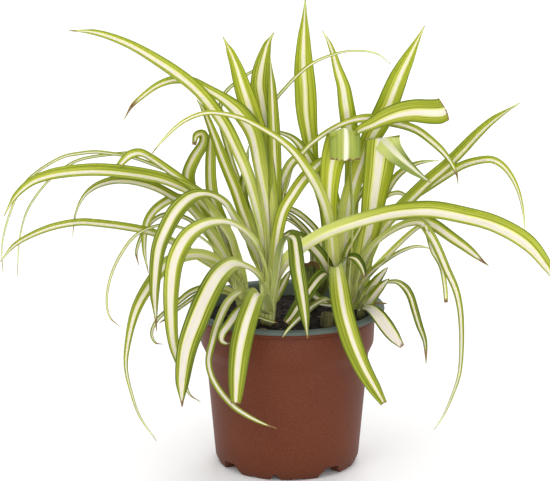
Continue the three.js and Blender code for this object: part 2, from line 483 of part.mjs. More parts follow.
const RIGHT_LEAVES = [
  ["leaf crossing to the far left", [0.55, 0.55], [
    [28, 110, 8, 9], [27.5, 125, 6, 9], [27, 140, 2, 9], [24, 155, -5, 9], [19, 168, -12, 8.5],
    [12, 180, -18, 8], [4, 191, -22, 6.5], [-5, 199, -25, 5], [-12, 203.5, -27, 4], [-20, 208, -28, 3.6],
    [-30, 212.5, -30, 3.2], [-50, 215.5, -33, 3], [-65, 210, -36, 2.4], [-78, 198, -38, 1.6],
    [-86, 188, -39, 1]]],
  ["leaf bowed to the left", [0.65, 0.65], [
    [30, 110, 12, 7], [27, 128, 12, 9], [25, 145, 12, 9.5], [23, 160, 12, 9.5], [20, 173, 12, 9],
    [15, 184, 12, 8], [9, 194, 13, 6], [3, 200, 15, 4], [-4, 203, 17, 2.5], [-10, 204, 18, 1]]],
  ["thin leaf hooked to the left", [0.65, 0.65], [
    [29, 112, 14, 4], [25, 140, 16, 4], [20, 162, 17, 4], [14, 178, 17, 4], [8, 186, 16, 3.6],
    [3.5, 182, 15, 3], [0.5, 171, 14, 2.2], [-3, 159, 14, 1]]],
  ["tallest leaf", [1, 1], [
    [31, 108, 16, 4], [29, 125, 18, 4.5], [26, 145, 19, 4.5], [22, 162, 20, 5], [18, 178, 20, 6],
    [15.5, 190, 20, 8], [14.3, 200, 20, 10], [12.9, 210, 20, 12], [12, 220, 20, 13.5],
    [11.5, 230, 20, 13.5], [10.5, 245, 20, 12], [10.5, 262, 20, 8], [11.5, 287, 20, 1.2]]],
  ["leaf cut across, folded over", [1, 1], [
    [31, 108, 6, 7], [29, 125, 4, 8], [27, 145, 2, 9], [26.3, 160, 1, 10], [27, 175, 0, 12],
    [28.5, 186, -1, 14.5], [31.5, 196, -3, 17], [34.5, 203, -6, 18], [36, 203.5, -9, 18.5],
    [36.5, 197, -11, 18.5], [36.5, 186, -12, 18.5]]],
  ["upright leaf bowed to the left", [0.9, 0.9], [
    [37, 105, 16, 8], [38, 125, 15, 9.5], [39, 145, 14, 9.5], [40, 165, 13, 9.5], [40.5, 185, 12, 9.5],
    [39.5, 200, 11, 10.5], [38, 212, 10, 10.5], [36.5, 222, 9, 10], [35, 232, 8, 8.5], [31.5, 243, 7, 6],
    [29, 252, 6, 4], [26, 260, 5, 2.5], [22, 267, 5, 1]]],
  ["tall leaf leaning right", [0.85, 0.85], [
    [36, 100, 12, 9], [36, 120, 10, 10.5], [36.5, 140, 9, 10.5], [38, 157, 8, 10.5], [42, 172, 7, 10.5],
    [46.5, 185, 6, 10.5], [51, 197, 5, 11], [57, 208, 4, 13.5], [62.5, 219, 3, 13.5], [66.5, 229, 2, 13],
    [71, 240, 1, 11], [76, 250, 0, 8], [81, 260, -1, 4.5], [86, 270, -2, 1]]],
  ["leaf cut across, bent level", [0.25, 0.62], [
    [38, 105, 4, 4], [40, 125, 2, 4], [41, 145, 1, 4], [40.5, 165, 0, 4], [39.5, 180, -1, 4],
    [39.5, 192, -2, 4.5], [40.5, 200, -3, 5], [45, 204.5, -8, 6], [53, 208, -14, 9], [60, 211.5, -18, 11],
    [70, 215, -20, 13], [80, 216.5, -22, 14], [90, 216, -24, 15], [96.5, 216.3, -25, 15.5],
    [99, 217.6, -25.5, 15.5]]],
  ["leaf folded down at its middle", [0.8, 0.8], [
    [44, 100, 10, 12.5], [47, 118, 8, 12.5], [50, 135, 6, 12], [53, 150, 4, 13.5], [55, 165, 2, 15.5],
    [57, 178, 0, 18], [58.5, 191, -3, 20], [60, 197.5, -5, 15], [64, 201, -8, 10.5],
    [68.5, 199, -11, 10.5], [74.5, 191, -13, 8.5], [81.5, 182, -15, 5.5], [89.4, 172.3, -16, 1.2]]],
  ["short leaf cut across", [0.8, 0.8], [
    [36, 112, 14, 4], [34.5, 130, 14, 4.5], [33.5, 148, 14, 4.5], [31, 160, 14, 4.5], [28.5, 172, 14, 4],
    [27, 180, 14, 3]]],
  ["short leaf inside", [0.8, 0.8], [
    [38, 110, 14, 4], [38.5, 140, 14, 4], [41, 155, 13, 4], [44, 162, 12, 4], [50, 170.5, 11, 3.4],
    [56, 177, 10, 1.5]]],
  ["short leaf in front", [0.8, 0.8], [
    [36, 112, 4, 4], [37, 127, 2, 4], [42, 137, 1, 4], [47, 146, 0, 3], [48.5, 149, 0, 1.5]]],
  ["leaf behind the folded one", null, [
    [46, 125, 16, 5], [55, 150, 14, 6], [61, 163, 12, 6], [68, 174.5, 8, 5.5], [74, 180, 5, 4.5],
    [82, 184, 3, 3], [95, 186, 1, 1]]],
  ["small pale arch", null, [
    [48, 125, 18, 3], [58, 150, 16, 3], [61, 162, 15, 3], [66, 165, 14, 3], [70, 165.5, 13, 3],
    [74, 163.5, 12, 2.6], [77, 158, 12, 1.5]]],
  ["long leaf rising to the right", null, [
    [41, 98, 8, 11.5], [46, 115, 6, 11.5], [52, 129, 4, 9.5], [58, 140, 2, 9.5], [66, 150, 0, 9.5],
    [80, 164, -4, 10], [90, 173.5, -6, 10], [100, 182, -8, 9.5], [110, 192, -10, 9],
    [120, 202.5, -12, 7.5], [130, 211.5, -14, 5.5], [146, 222, -17, 1]]],
  ["long arch to the right", null, [
    [42, 98, 12, 8], [48, 115, 14, 8], [55, 132, 14, 6], [63, 148, 12, 6], [71, 157, 10, 6],
    [80, 163.5, 8, 6], [90, 170, 6, 6], [100, 176.5, 4, 6], [110, 182.5, 2, 6], [120, 185.5, 0, 5.5],
    [128, 186, -2, 5], [134, 183, -4, 4.5], [140, 176, -5, 3.5], [145, 165, -6, 2.5], [148, 150, -7, 1.6],
    [148.5, 140, -8, 1]]],
  ["arch sloping down to the right", null, [
    [40, 98, 14, 9], [46, 118, 16, 9], [53, 135, 14, 8], [60, 146, 10, 8], [68, 151, 5, 8],
    [76, 151.5, 0, 8], [83, 149, -4, 8], [92, 145, -8, 8], [102, 138, -12, 7.5], [112, 131, -15, 6],
    [120, 124.5, -17, 4], [126, 120, -18, 1.2]]],
  ["arch hanging right of the pot", null, [
    [41, 98, 6, 5], [44, 112, 3, 6], [47, 122, 0, 6], [53, 131, -4, 6], [60.5, 138, -8, 6],
    [69, 143.5, -12, 6], [77, 146.5, -15, 6], [84, 146.5, -17, 6], [89, 140, -19, 6],
    [93.5, 132, -20, 5.5], [100, 117, -22, 5], [105, 106, -23, 4.5], [108, 93, -23, 4], [109, 70, -23, 3],
    [107.5, 52, -23, 2.4], [104, 41, -22, 2], [98, 27, -21, 1.4], [92, 17.5, -20, 1]]],
  ["strip torn from the hanging arch", null, [
    [86, 145, -17.5, 3], [88, 139, -18.5, 3], [91, 129, -20, 3], [96, 120, -21, 3], [98.5, 108, -22, 3],
    [99.3, 97, -22, 3]]],
  ["thin leaf under the arches", null, [
    [41, 98, 6, 4], [45, 106, 3, 4], [52, 115, 0, 4], [62.5, 123.5, -4, 3.6], [74, 130, -8, 3],
    [82, 132, -10, 2], [90, 130.6, -12, 1]]],
  ["broad leaf over the front rim", null, [
    [32, 106, 4, 6], [30, 114, -3, 6], [30, 119, -12, 6.5], [31, 119, -22, 7.5], [31.6, 114, -32, 10],
    [33, 103, -44, 12.5], [35, 91, -54, 12.5], [38, 80, -60, 12.5], [41, 71, -63, 12], [48, 55, -65, 10],
    [55, 43, -65, 8], [60.5, 34, -64, 5]]],
  ["blunt leaf over the soil", null, [
    [32, 98, 6, 6], [29.5, 105, 0, 7], [27, 112, -8, 8], [24.5, 115.5, -16, 8], [20, 112.5, -23, 8],
    [15, 106, -29, 8], [11, 100, -33, 8], [6.5, 94, -37, 7.5], [2.5, 88, -40, 6.5], [-0.8, 84.5, -42, 5]]],
  ["thin leaf over the soil", null, [
    [30, 97, 4, 4], [25, 99, -8, 4], [18, 96, -24, 4], [12, 91, -38, 4], [8, 87.5, -49, 3.6],
    [4, 83.6, -57, 3], [0, 79.2, -63, 2], [-3, 75, -65.5, 1.2]]],
  ["short dark leaf", null, [
    [35, 108, 0, 6], [34.2, 116, -3, 6], [35, 122, -6, 6], [38.5, 125.5, -9, 6], [43, 124.5, -11, 6],
    [46.8, 119.5, -12, 5], [48.8, 113, -13, 2.5]]],
  ["leaf arching left over the soil", [0.72, 0.5], [
    [30.5, 98, 13, 7], [29, 106, 9, 8], [27, 113, 5, 9], [24.5, 119.5, 2, 9], [20.5, 126, 0, 9],
    [15, 132, -1, 8.5], [9, 137, -3, 7], [2.5, 139.8, -3, 5.5], [-3, 138, -3, 2.5]]],
  ["low leaf to the left", null, [
    [30, 96, 4, 3.5], [27, 95, -6, 3.5], [20, 96, -10, 3], [14, 97, -12, 1.5]]],
];

const OFFSET_LEAVES = [
  ["leaf hooked over the rim", null, [
    [48, 99, -3, 2], [52, 105, -6, 2], [60, 109, -11, 2.2], [66, 110, -15, 3], [69.5, 109.5, -17, 3.4],
    [74, 106, -19, 5], [77, 101, -20, 5], [79.5, 93, -21, 5], [82.5, 83, -21, 4.6], [86, 73, -21, 3],
    [87, 58.6, -21, 1]]],
  ["low leaf over the rim", null, [
    [46.5, 92.5, -6, 4], [49, 93.8, -16, 5], [53, 92.5, -26, 7], [57.5, 88, -34, 9], [62, 82, -38, 9.5],
    [66.5, 76, -40, 8], [72, 69.5, -41, 3.5]]],
  ["short green leaf", [0.7, 0.7], [
    [48, 97, -3, 6.5], [52, 104.5, -6, 7.5], [57, 111.5, -9, 6], [63, 119, -11, 1.5]]],
  ["short green leaf beside it", [0.7, 0.7], [
    [50, 96, -7, 6.5], [54.5, 101.5, -11, 7], [59, 107, -14, 5.5], [64, 112, -16, 1.5]]],
  ["dry twig leaf", null, [
    [49, 94.5, -4, 1.6], [54, 96.3, -8, 1.4], [58, 96.7, -10, 1.3], [62.5, 96.2, -12, 1.2]]],
];

const BACK_LEAVES = [
  ["long thin leaf bowed left", [0.7, 0.7], [
    [19, 118, 26, 4], [21, 135, 25, 4], [19, 141, 24, 4], [13, 148, 22, 4], [5, 154, 20, 4],
    [-2, 156.5, 18, 3], [-8, 156, 17, 1.2]]],
  ["thin leaf bowed left", [0.7, 0.7], [
    [17, 118, 27, 4], [16.5, 132, 27, 4], [14, 139, 26, 4], [8, 146, 25, 3.8], [1, 152, 24, 2.8],
    [-5, 154.5, 23, 1.2]]],
  ["thinner leaf bowed left", [0.7, 0.7], [
    [15.5, 118, 28, 3], [15, 131, 28, 3], [12, 139, 28, 3], [6, 145.5, 27, 2.6], [-1, 149.5, 26, 2],
    [-6, 151, 25, 1.2]]],
  ["cropped leaf on the left", [0.8, 0.8], [
    [14, 104, 26, 8], [11.5, 113, 26, 9], [10.5, 121.5, 26, 7.5]]],
  ["cropped leaf in the middle", [0.8, 0.8], [
    [16, 104, 25, 9], [17, 113, 24, 10], [17, 122.5, 24, 8]]],
  ["cropped leaf on the right", [0.8, 0.8], [
    [18, 102, 25, 8], [22.5, 109, 24, 9], [25, 116, 24, 7.5]]],
  ["dried low leaf", null, [
    [16, 101.5, 16, 6], [21, 98.5, 10, 6], [26.5, 96, 2, 4]]],
];

// Each rosette: where its peg stands, the rings of its stub, the place every leaf starts from
// inside the stub, and its leaves.
const ROSETTES = [
  {
    name: "front_rosette",
    peg: { x: -12, y: -14, radius: 4.2 },
    rings: [
      [-12, 85.5, -14, 4.2, 4.2], [-12, 97, -14, 5, 4.6], [-11.5, 108, -13.5, 4.6, 4],
      [-10.5, 117, -12, 3.2, 2.6],
    ],
    root: [-12, 90, -14, 4],
    leaves: FRONT_LEAVES,
    material: leafMaterial("#5f8a35"),
  },
  {
    name: "left_rosette",
    peg: { x: -27, y: 18, radius: 4.4 },
    rings: [
      [-27, 95, 18, 4.4, 4.4], [-28.5, 104, 18, 5, 5], [-31, 113, 18, 4.4, 4],
      [-33.5, 120, 18, 3, 2.6],
    ],
    root: [-27.2, 97, 18, 4],
    leaves: LEFT_LEAVES,
    material: leafMaterial("#79a045"),
  },
  {
    name: "right_rosette",
    peg: { x: 35, y: 12, radius: 6 },
    rings: [[35, 93, 12, 6, 6], [35, 103, 12, 7.5, 7], [34.5, 113, 11.5, 7, 6], [34.5, 122, 11, 5, 4]],
    root: [35, 97, 12, 5],
    leaves: RIGHT_LEAVES,
    material: leafMaterial("#86aa4a"),
  },
  {
    name: "small_rosette",
    peg: { x: 46, y: -1, radius: 2.4 },
    rings: [[46, 89.5, -1, 2.4, 2.4], [47, 96, -2, 2.6, 2.4], [49, 100, -3.5, 1.6, 1.4]],
    root: [46.4, 94, -1.6, 2.4],
    leaves: OFFSET_LEAVES,
    material: leafMaterial("#6b8f3c"),
  },
  {
    name: "old_rosette",
    peg: { x: 15, y: 26, radius: 4.2 },
    rings: [[15, 97, 26, 4.2, 4.2], [15, 104, 26, 4.8, 4], [15.5, 112, 26, 4.2, 3], [16, 119, 26, 3, 2.2]],
    root: [15, 100, 26, 4],
    leaves: BACK_LEAVES,
    material: leafMaterial("#8b9160"),
  },
];

const DEAD_STUB = { x: 24.5, y: -18, radius: 4.4, top: 99.5, topRadius: 3.6 };

const pot = makePot();
let soil = makeSoil();
const group = new THREE.Group();
group.name = "potted_spider_plant";

function holeFor({ x, y, radius }) {
  const tall = LIP_TOP_Z - HOLE_FLOOR_Z;
  return wasm.Manifold.cylinder(tall, radius + HOLE_GAP, radius + HOLE_GAP, 2 * PEG_SIDES).translate([
    x,
    y,
    HOLE_FLOOR_Z,
  ]);
}

function makeRosette({ peg, rings, root, leaves }) {
  const stub = stubSolid(peg, rings);
  const blades = leaves.map(([, facing, route]) => bladeSolid([root, ...route], facing));
  return outerSkin(wasm.Manifold.union([stub, ...blades]).simplify(MERGE_WITHIN));
}

// The body without the pockets that crossing leaves close in between them.
function outerSkin(solid) {
  const shells = solid.decompose();
  return shells.reduce((most, shell) => (shell.volume() > most.volume() ? shell : most));
}

for (const rosette of ROSETTES) {
  soil = soil.subtract(holeFor(rosette.peg));
  group.add(meshOf(rosette.name, makeRosette(rosette), rosette.material));
}

const stubHeight = DEAD_STUB.top - PEG_FOOT_Z;
const deadStub = wasm.Manifold.cylinder(stubHeight, DEAD_STUB.radius, DEAD_STUB.topRadius, PEG_SIDES);
soil = soil.subtract(holeFor(DEAD_STUB));
group.add(meshOf("pot", pot, potMaterial));
group.add(meshOf("soil", soil, soilMaterial));
group.add(
  meshOf("dead_stub", deadStub.translate([DEAD_STUB.x, DEAD_STUB.y, PEG_FOOT_Z]), stubMaterial),
);

export default group;
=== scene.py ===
# %% [markdown]
# # A potted spider plant
# Five rosettes of long striped leaves grow from dark soil in a brown nursery pot. The solids come
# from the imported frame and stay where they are. This lesson dresses them: each faceted rosette is
# replaced by smooth blades laid along the same routes, and every surface gets its own finish.

# %% Load the frame
import math
import random
import bpy
import numpy as np
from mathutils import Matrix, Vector, noise


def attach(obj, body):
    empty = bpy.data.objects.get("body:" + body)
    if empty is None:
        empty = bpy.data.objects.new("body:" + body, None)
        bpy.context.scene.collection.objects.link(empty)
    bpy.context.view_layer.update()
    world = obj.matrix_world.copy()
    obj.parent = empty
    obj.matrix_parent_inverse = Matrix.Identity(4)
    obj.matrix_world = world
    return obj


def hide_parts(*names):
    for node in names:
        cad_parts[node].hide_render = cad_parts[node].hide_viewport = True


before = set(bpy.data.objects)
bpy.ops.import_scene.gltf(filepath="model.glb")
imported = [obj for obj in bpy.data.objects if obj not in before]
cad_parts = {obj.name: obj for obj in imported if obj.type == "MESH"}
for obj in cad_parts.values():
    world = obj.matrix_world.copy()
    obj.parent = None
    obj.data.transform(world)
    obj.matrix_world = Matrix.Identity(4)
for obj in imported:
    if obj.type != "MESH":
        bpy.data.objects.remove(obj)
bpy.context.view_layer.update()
MM = 0.001
random.seed(11)
print("nodes:", sorted(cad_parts))

# %% [markdown]
# The camera comes first, because the leaves were read off along its lines of sight. It stands
# almost two metres away and looks down a little, so the lens is long and the view nearly flat.

# %% Camera
EYE_TILT = math.radians(14.7)
EYE = np.array([-7.5, -1706.6, 588.1])
SHEET_WIDTH = 343.75
EYE_DISTANCE = 1800.0
SENSOR = 36.0

bpy.ops.object.select_all(action="DESELECT")
bpy.ops.object.camera_add(location=tuple(EYE * MM), rotation=(math.pi / 2 - EYE_TILT, 0, 0))
camera = bpy.context.object
camera.data.sensor_width = SENSOR
camera.data.lens = SENSOR * EYE_DISTANCE / SHEET_WIDTH
camera.data.clip_end = 20
bpy.context.scene.camera = camera
print("lens", round(camera.data.lens, 1), "mm")

# %% [markdown]
# Round things are built the way a potter would: a flat disc is added, then pulled up ring by ring
# along a profile of radius and height. A lathe modifier would do too, but the rings are easy to
# read against the real pot, and the last ring closes the floor by itself.

# %% Rings pulled up from a disc
def disc(name, sides, radius, place):
    """A flat disc, left in edit mode with its one face selected, ready to be pulled up."""
    bpy.ops.object.select_all(action="DESELECT")
    bpy.ops.mesh.primitive_circle_add(
        vertices=sides, radius=radius * MM, fill_type="NGON",
        location=tuple(number * MM for number in place),
    )
    piece = bpy.context.object
    piece.name = name
    bpy.ops.object.transform_apply(location=True, rotation=True, scale=True)
    bpy.ops.object.mode_set(mode="EDIT")
    bpy.ops.mesh.select_mode(type="FACE")
    bpy.ops.mesh.select_all(action="SELECT")
    return piece


def face_outward():
    """Leaves edit mode with every face of the mesh turned outward."""
    bpy.ops.mesh.select_all(action="SELECT")
    bpy.ops.mesh.normals_make_consistent(inside=False)
    bpy.ops.object.mode_set(mode="OBJECT")


def pulled_rings(name, profile, sides):
    """A closed body from [radius, z] rings in millimetres, the first and last closed by a disc."""
    radius, height = profile[0]
    piece = disc(name, sides, radius, (0, 0, height))
    for next_radius, next_height in profile[1:]:
        rise = (next_height - height) * MM
        bpy.ops.mesh.extrude_region_move(TRANSFORM_OT_translate={"value": (0, 0, rise)})
        share = next_radius / radius
        bpy.ops.transform.resize(
            value=(share, share, 1), center_override=(0, 0, next_height * MM)
        )
        radius, height = next_radius, next_height
    face_outward()
    return piece


def faces_of(piece):
    return len(piece.data.polygons)


# %% [markdown]
# The pot is a thermoformed nursery pot: one sheet of plastic drawn over a mould, so its wall is
# about a millimetre thick, its lip is rolled flat and its foot is a ring with a pressed-up floor.
# The collar steps out near the top, where one pot would sit in the next.

# %% Pot body
POT_SIDES = 192
POT_PROFILE = [  # radius and height, from under the floor, up the outside and down the inside
    [27.0, 0], [27.6, 0.4], [30.0, 4.7], [30.6, 5.0], [35.0, 5.0], [35.8, 4.2], [37.0, 0],
    [41.9, 0], [42.6, 0.5], [44.4, 4.6], [44.6, 6.0], [50.1, 68.0], [50.35, 70.0], [50.7, 71.3],
    [52.9, 76.0], [53.3, 77.2], [53.5, 78.4], [54.1, 92.4], [54.05, 92.8], [53.8, 93.1],
    [53.8, 95.6], [54.2, 96.6], [55.3, 97.0], [59.2, 97.0],
    [59.8, 97.3], [60.0, 98.0], [59.8, 98.8], [59.2, 99.35], [58.2, 99.5], [56.0, 99.5],
    [55.0, 99.3], [54.0, 98.7], [53.3, 97.6], [52.6, 79.0], [52.3, 77.6], [49.6, 71.4],
    [49.2, 69.6], [43.6, 7.8], [43.0, 7.2], [29.0, 7.2], [26.2, 1.0],
]
pot = pulled_rings("nursery_pot", POT_PROFILE, POT_SIDES)
print("pot faces", faces_of(pot))

# %% [markdown]
# The foot ring is notched all round: four wide arches that let water out, and between them narrow
# V cuts and two sets of shallow nicks. The ring's faces could be moved one by one, but a cut leaves
# crisp edges. So each notch is a cube whose top is drawn in, turned to its place round the axis,
# and all of them, joined into one, are cut away with a single Boolean.

# %% Notches in the foot
NOTCHES = [  # angle of the first, width in degrees, depth, share of the width at the top
    (38, 24, 6.2, 0.5), (-9.5, 9.5, 3.6, 0.3), (-28, 8, 1.0, 0.6), (9, 10, 0.9, 0.7),
]
CUTTER_FOOT = -1.0
CUTTER_INNER = 34.0
CUTTER_OUTER = 50.0


def only(piece):
    """Selects this piece alone and makes it the active one."""
    bpy.ops.object.select_all(action="DESELECT")
    piece.select_set(True)
    bpy.context.view_layer.objects.active = piece


def joined(parts, name):
    only(parts[0])
    for part in parts:
        part.select_set(True)
    bpy.ops.object.join()
    piece = bpy.context.object
    piece.name = name
    return piece


def smoothed(piece, degrees):
    """Smooths the piece's faces where they meet at less than this angle."""
    only(piece)
    bpy.ops.object.shade_smooth_by_angle(angle=math.radians(degrees))


def notch_cutter(width, depth, top_share, turn):
    flare = math.tan(math.radians(width / 2))
    foot_flare = flare * (1 + (1 - top_share) / depth)
    bpy.ops.object.select_all(action="DESELECT")
    bpy.ops.mesh.primitive_cube_add(size=1, location=(0, 0, 0))
    cutter = bpy.context.object
    for corner in cutter.data.vertices:
        radius = CUTTER_INNER if corner.co.y > 0 else CUTTER_OUTER
        half = radius * (flare * top_share if corner.co.z > 0 else foot_flare)
        x = -half if corner.co.x < 0 else half
        z = CUTTER_FOOT if corner.co.z < 0 else depth
        corner.co = Vector((x, -radius, z)) * MM
    cutter.rotation_euler.z = math.radians(turn)
    bpy.ops.object.transform_apply(location=True, rotation=True, scale=True)
    return cutter


cutters = []
for first, width, depth, top_share in NOTCHES:
    for quarter in range(4):
        cutters.append(notch_cutter(width, depth, top_share, first + 90 * quarter))
all_cutters = joined(cutters, "cutters")
only(pot)
cut = pot.modifiers.new("notches", "BOOLEAN")
cut.operation = "DIFFERENCE"
cut.solver = "EXACT"
cut.object = all_cutters
bpy.ops.object.modifier_apply(modifier=cut.name)
bpy.data.objects.remove(all_cutters)
smoothed(pot, 32)
print("pot faces after the cuts", faces_of(pot))

# %% [markdown]
# The soil is peat with bark in it. It fills the pot to about eight millimetres under the lip. A
# lumpy sheet would show enough of it, but the body has to fill the pot as the solid does. So it is
# pulled up in rings like the pot, its top is inset again and again to get a fine net, and noise
# then lifts the net into lumps and hollows.

# %% Soil body
SOIL_Z = 90.8
SOIL_RADIUS = 52.3
SOIL_SIDES = 120
SWELL = 0.8
NET_RINGS = 30
NET_STEP = 1.65
TOP_FROM_Z = 90.0
SOIL_PROFILE = [
    [25.7, 1.35], [28.7, 7.55], [42.5, 7.6], [48.5, 69.6], [51.6, 78.4], [SOIL_RADIUS, 89.6],
    [51.9, 90.6],
]


def off_rim(x, y):
    """1 over most of the soil, and down to 0 at its rim."""
    return 1 - min(1.0, math.hypot(x, y) / SOIL_RADIUS) ** 6


def soil_height(x, y):
    swell = math.sin(x / 8.5 + 0.6) * math.cos(y / 7.2) + 0.5 * math.sin((x + y) / 4.3 + 1.1)
    return SOIL_Z + SWELL * off_rim(x, y) * swell


soil = pulled_rings("potting_soil", SOIL_PROFILE, SOIL_SIDES)
only(soil)
bpy.ops.object.mode_set(mode="EDIT")
bpy.ops.mesh.select_all(action="DESELECT")
bpy.ops.object.mode_set(mode="OBJECT")
top_face = max(soil.data.polygons, key=lambda face: face.center.z)
top_face.select = True
bpy.ops.object.mode_set(mode="EDIT")
for ring in range(NET_RINGS):
    bpy.ops.mesh.inset(thickness=NET_STEP * MM)
bpy.ops.object.mode_set(mode="OBJECT")
for vertex in soil.data.vertices:
    if vertex.co.z < TOP_FROM_Z * MM:
        continue
    x, y = vertex.co.x / MM, vertex.co.y / MM
    lumps = noise.noise(Vector((x / 2.6, y / 2.6, 3.0)))
    lumps += 0.5 * noise.noise(Vector((x / 1.2, y / 1.2, 8.0)))
    vertex.co.z = (soil_height(x, y) + (0.5 + 0.5 * off_rim(x, y)) * lumps) * MM
smoothed(soil, 60)
print("soil faces", faces_of(soil))

# %% [markdown]
# Loose bits lie on the soil: crumbs of peat, slivers of bark and a few pale grains, more of them
# round each stem. Particles could scatter them, but a seeded draw puts them in the same places
# each time. Four small lumps are shaped once and copied about, and the draw turns and sizes each.

# %% Crumbs and bark on the soil
CRUMB_SHAPES = [  # stretch and seed
    ((1, 0.9, 0.7), 1), ((1.7, 0.6, 0.45), 5), ((0.8, 0.8, 0.8), 9), ((2.6, 0.5, 0.3), 13),
]
LOOSE_CRUMBS = 420
LOOSE_WITHIN = 51.0
CRUMBS_AT_A_STEM = 26
NONE_BEYOND = 51.4
SMALLER_BEYOND = 48
STEMS = [  # x, y and radius of each stem's foot
    (-12, -14, 4.2), (-27, 18, 4.4), (35, 12, 6.0), (46, -1, 2.4), (15, 26, 4.2), (24.5, -18, 4.4),
]


def crumb_shape(stretch, seed):
    bpy.ops.object.select_all(action="DESELECT")
    bpy.ops.mesh.primitive_ico_sphere_add(subdivisions=1, radius=1 * MM, location=(0, 0, 0))
    crumb = bpy.context.object
    bpy.ops.object.mode_set(mode="EDIT")
    bpy.ops.transform.resize(value=stretch, center_override=(0, 0, 0))
    bpy.ops.object.mode_set(mode="OBJECT")
    for vertex in crumb.data.vertices:
        push = 1 + 0.45 * noise.noise(vertex.co / MM * 1.3 + Vector((seed, 0, 0)))
        vertex.co = vertex.co * push
    return crumb


def round_spot(x, y, radius):
    angle = random.uniform(0, 2 * math.pi)
    return x + radius * math.cos(angle), y + radius * math.sin(angle)


def crumb_copy(kind, x, y):
    copy = bpy.data.objects.new("crumb", kind.data.copy())
    bpy.context.collection.objects.link(copy)
    copy.location = Vector((x, y, soil_height(x, y) + 0.25)) * MM
    lean = (random.uniform(-0.4, 0.4), random.uniform(-0.4, 0.4))
    copy.rotation_euler = (*lean, random.uniform(0, 6.28))
    size = random.uniform(0.45, 1.25) * (0.8 if math.hypot(x, y) > SMALLER_BEYOND else 1)
    copy.scale = (size, size, size)
    tint = copy.data.attributes.new("tint", "FLOAT", "POINT")
    tint.data.foreach_set("value", [random.random()] * len(copy.data.vertices))
    return copy


crumb_kinds = [crumb_shape(stretch, seed) for stretch, seed in CRUMB_SHAPES]
spots = []
for index in range(LOOSE_CRUMBS):
    spots.append(round_spot(0, 0, LOOSE_WITHIN * math.sqrt(random.random())))
for stem_x, stem_y, stem_radius in STEMS:
    for index in range(CRUMBS_AT_A_STEM):
        spots.append(round_spot(stem_x, stem_y, stem_radius + random.uniform(0.2, 1.6)))
crumbs = []
for x, y in spots:
    if math.hypot(x, y) <= NONE_BEYOND:
        crumbs.append(crumb_copy(random.choice(crumb_kinds), x, y))
soil_bits = joined(crumbs, "soil_bits")
bpy.ops.object.transform_apply(location=True, rotation=True, scale=True)
for kind in crumb_kinds:
    bpy.data.objects.remove(kind)
print("crumb faces", faces_of(soil_bits))

# %% [markdown]
# Every leaf is the same blade: long, thin and folded a little along its midrib. A curve with a
# bevelled outline could make one, but a strip keeps a UV map for the stripes. So one flat strip is
# made and given a thickness, and each leaf is a copy of it that is laid along its own route. The
# strip's own points say how far along it each one is, how far across and on which face.

# %% One blade to copy
BLADE_ROWS = 60
BLADE_COLUMNS = 10
bpy.ops.object.select_all(action="DESELECT")
bpy.ops.mesh.primitive_grid_add(x_subdivisions=BLADE_ROWS, y_subdivisions=BLADE_COLUMNS, size=1)
blade = bpy.context.object
blade.name = "blade"
wall = blade.modifiers.new("thickness", "SOLIDIFY")
wall.thickness = 0.1
wall.offset = 0
bpy.ops.object.modifier_apply(modifier=wall.name)
only(blade)
bpy.ops.object.mode_set(mode="EDIT")
face_outward()
smoothed(blade, 50)
flat = np.empty(len(blade.data.vertices) * 3)
blade.data.vertices.foreach_get("co", flat)
flat = flat.reshape(-1, 3)
blade_row = np.rint((flat[:, 0] + 0.5) * BLADE_ROWS).astype(int)
blade_across = flat[:, 1] * 2
blade_side = np.sign(flat[:, 2])
print("blade points", len(flat), "faces", faces_of(blade))

# %% [markdown]
# A route is a row of points, each given as across and up on a sheet that stands through the middle
# of the foot, square to the line of sight, then its depth, then how wide the leaf is there. The
# helper below turns a point into a place in space, and a smooth curve is drawn through the places.
# Rows are packed closer where the leaf bends most.

# %% From a route to a curve
STEPS_PER_SPAN = 14
BEND_PULL = 0.7  # how strongly the rows gather where the leaf bends


def unit(rows):
    return rows / np.maximum(np.linalg.norm(rows, axis=-1, keepdims=True), 1e-9)


def on_sight(across, up, depth):
    sheet = np.array([across, up * math.sin(EYE_TILT), up * math.cos(EYE_TILT)])
    share = (depth - EYE[1]) / (sheet[1] - EYE[1])
    return EYE + (sheet - EYE) * share


def smooth_curve(places):
    """Points, and their place along the route, on a centripetal curve through the places."""
    points, stations = [], []
    count = len(places)
    for k in range(count - 1):
        p1, p2 = places[k], places[k + 1]
        p0 = places[k - 1] if k > 0 else 2 * p1 - p2
        p3 = places[k + 2] if k + 2 < count else 2 * p2 - p1
        pairs = ((p0, p1), (p1, p2), (p2, p3))
        d0, d1, d2 = (max(math.sqrt(np.linalg.norm(b - a)), 1e-4) for a, b in pairs)
        t1 = ((p1 - p0) / d0 - (p2 - p0) / (d0 + d1) + (p2 - p1) / d1) * d1
        t2 = ((p2 - p1) / d1 - (p3 - p1) / (d1 + d2) + (p3 - p2) / d2) * d1
        bow = 3 * (p2 - p1) - 2 * t1 - t2
        turn = 2 * (p1 - p2) + t1 + t2
        for j in range(STEPS_PER_SPAN):
            t = j / STEPS_PER_SPAN
            points.append(p1 + t1 * t + bow * t * t + turn * t**3)
            stations.append(k + t)
    points.append(places[-1])
    stations.append(count - 1.0)
    return np.array(points), np.array(stations)


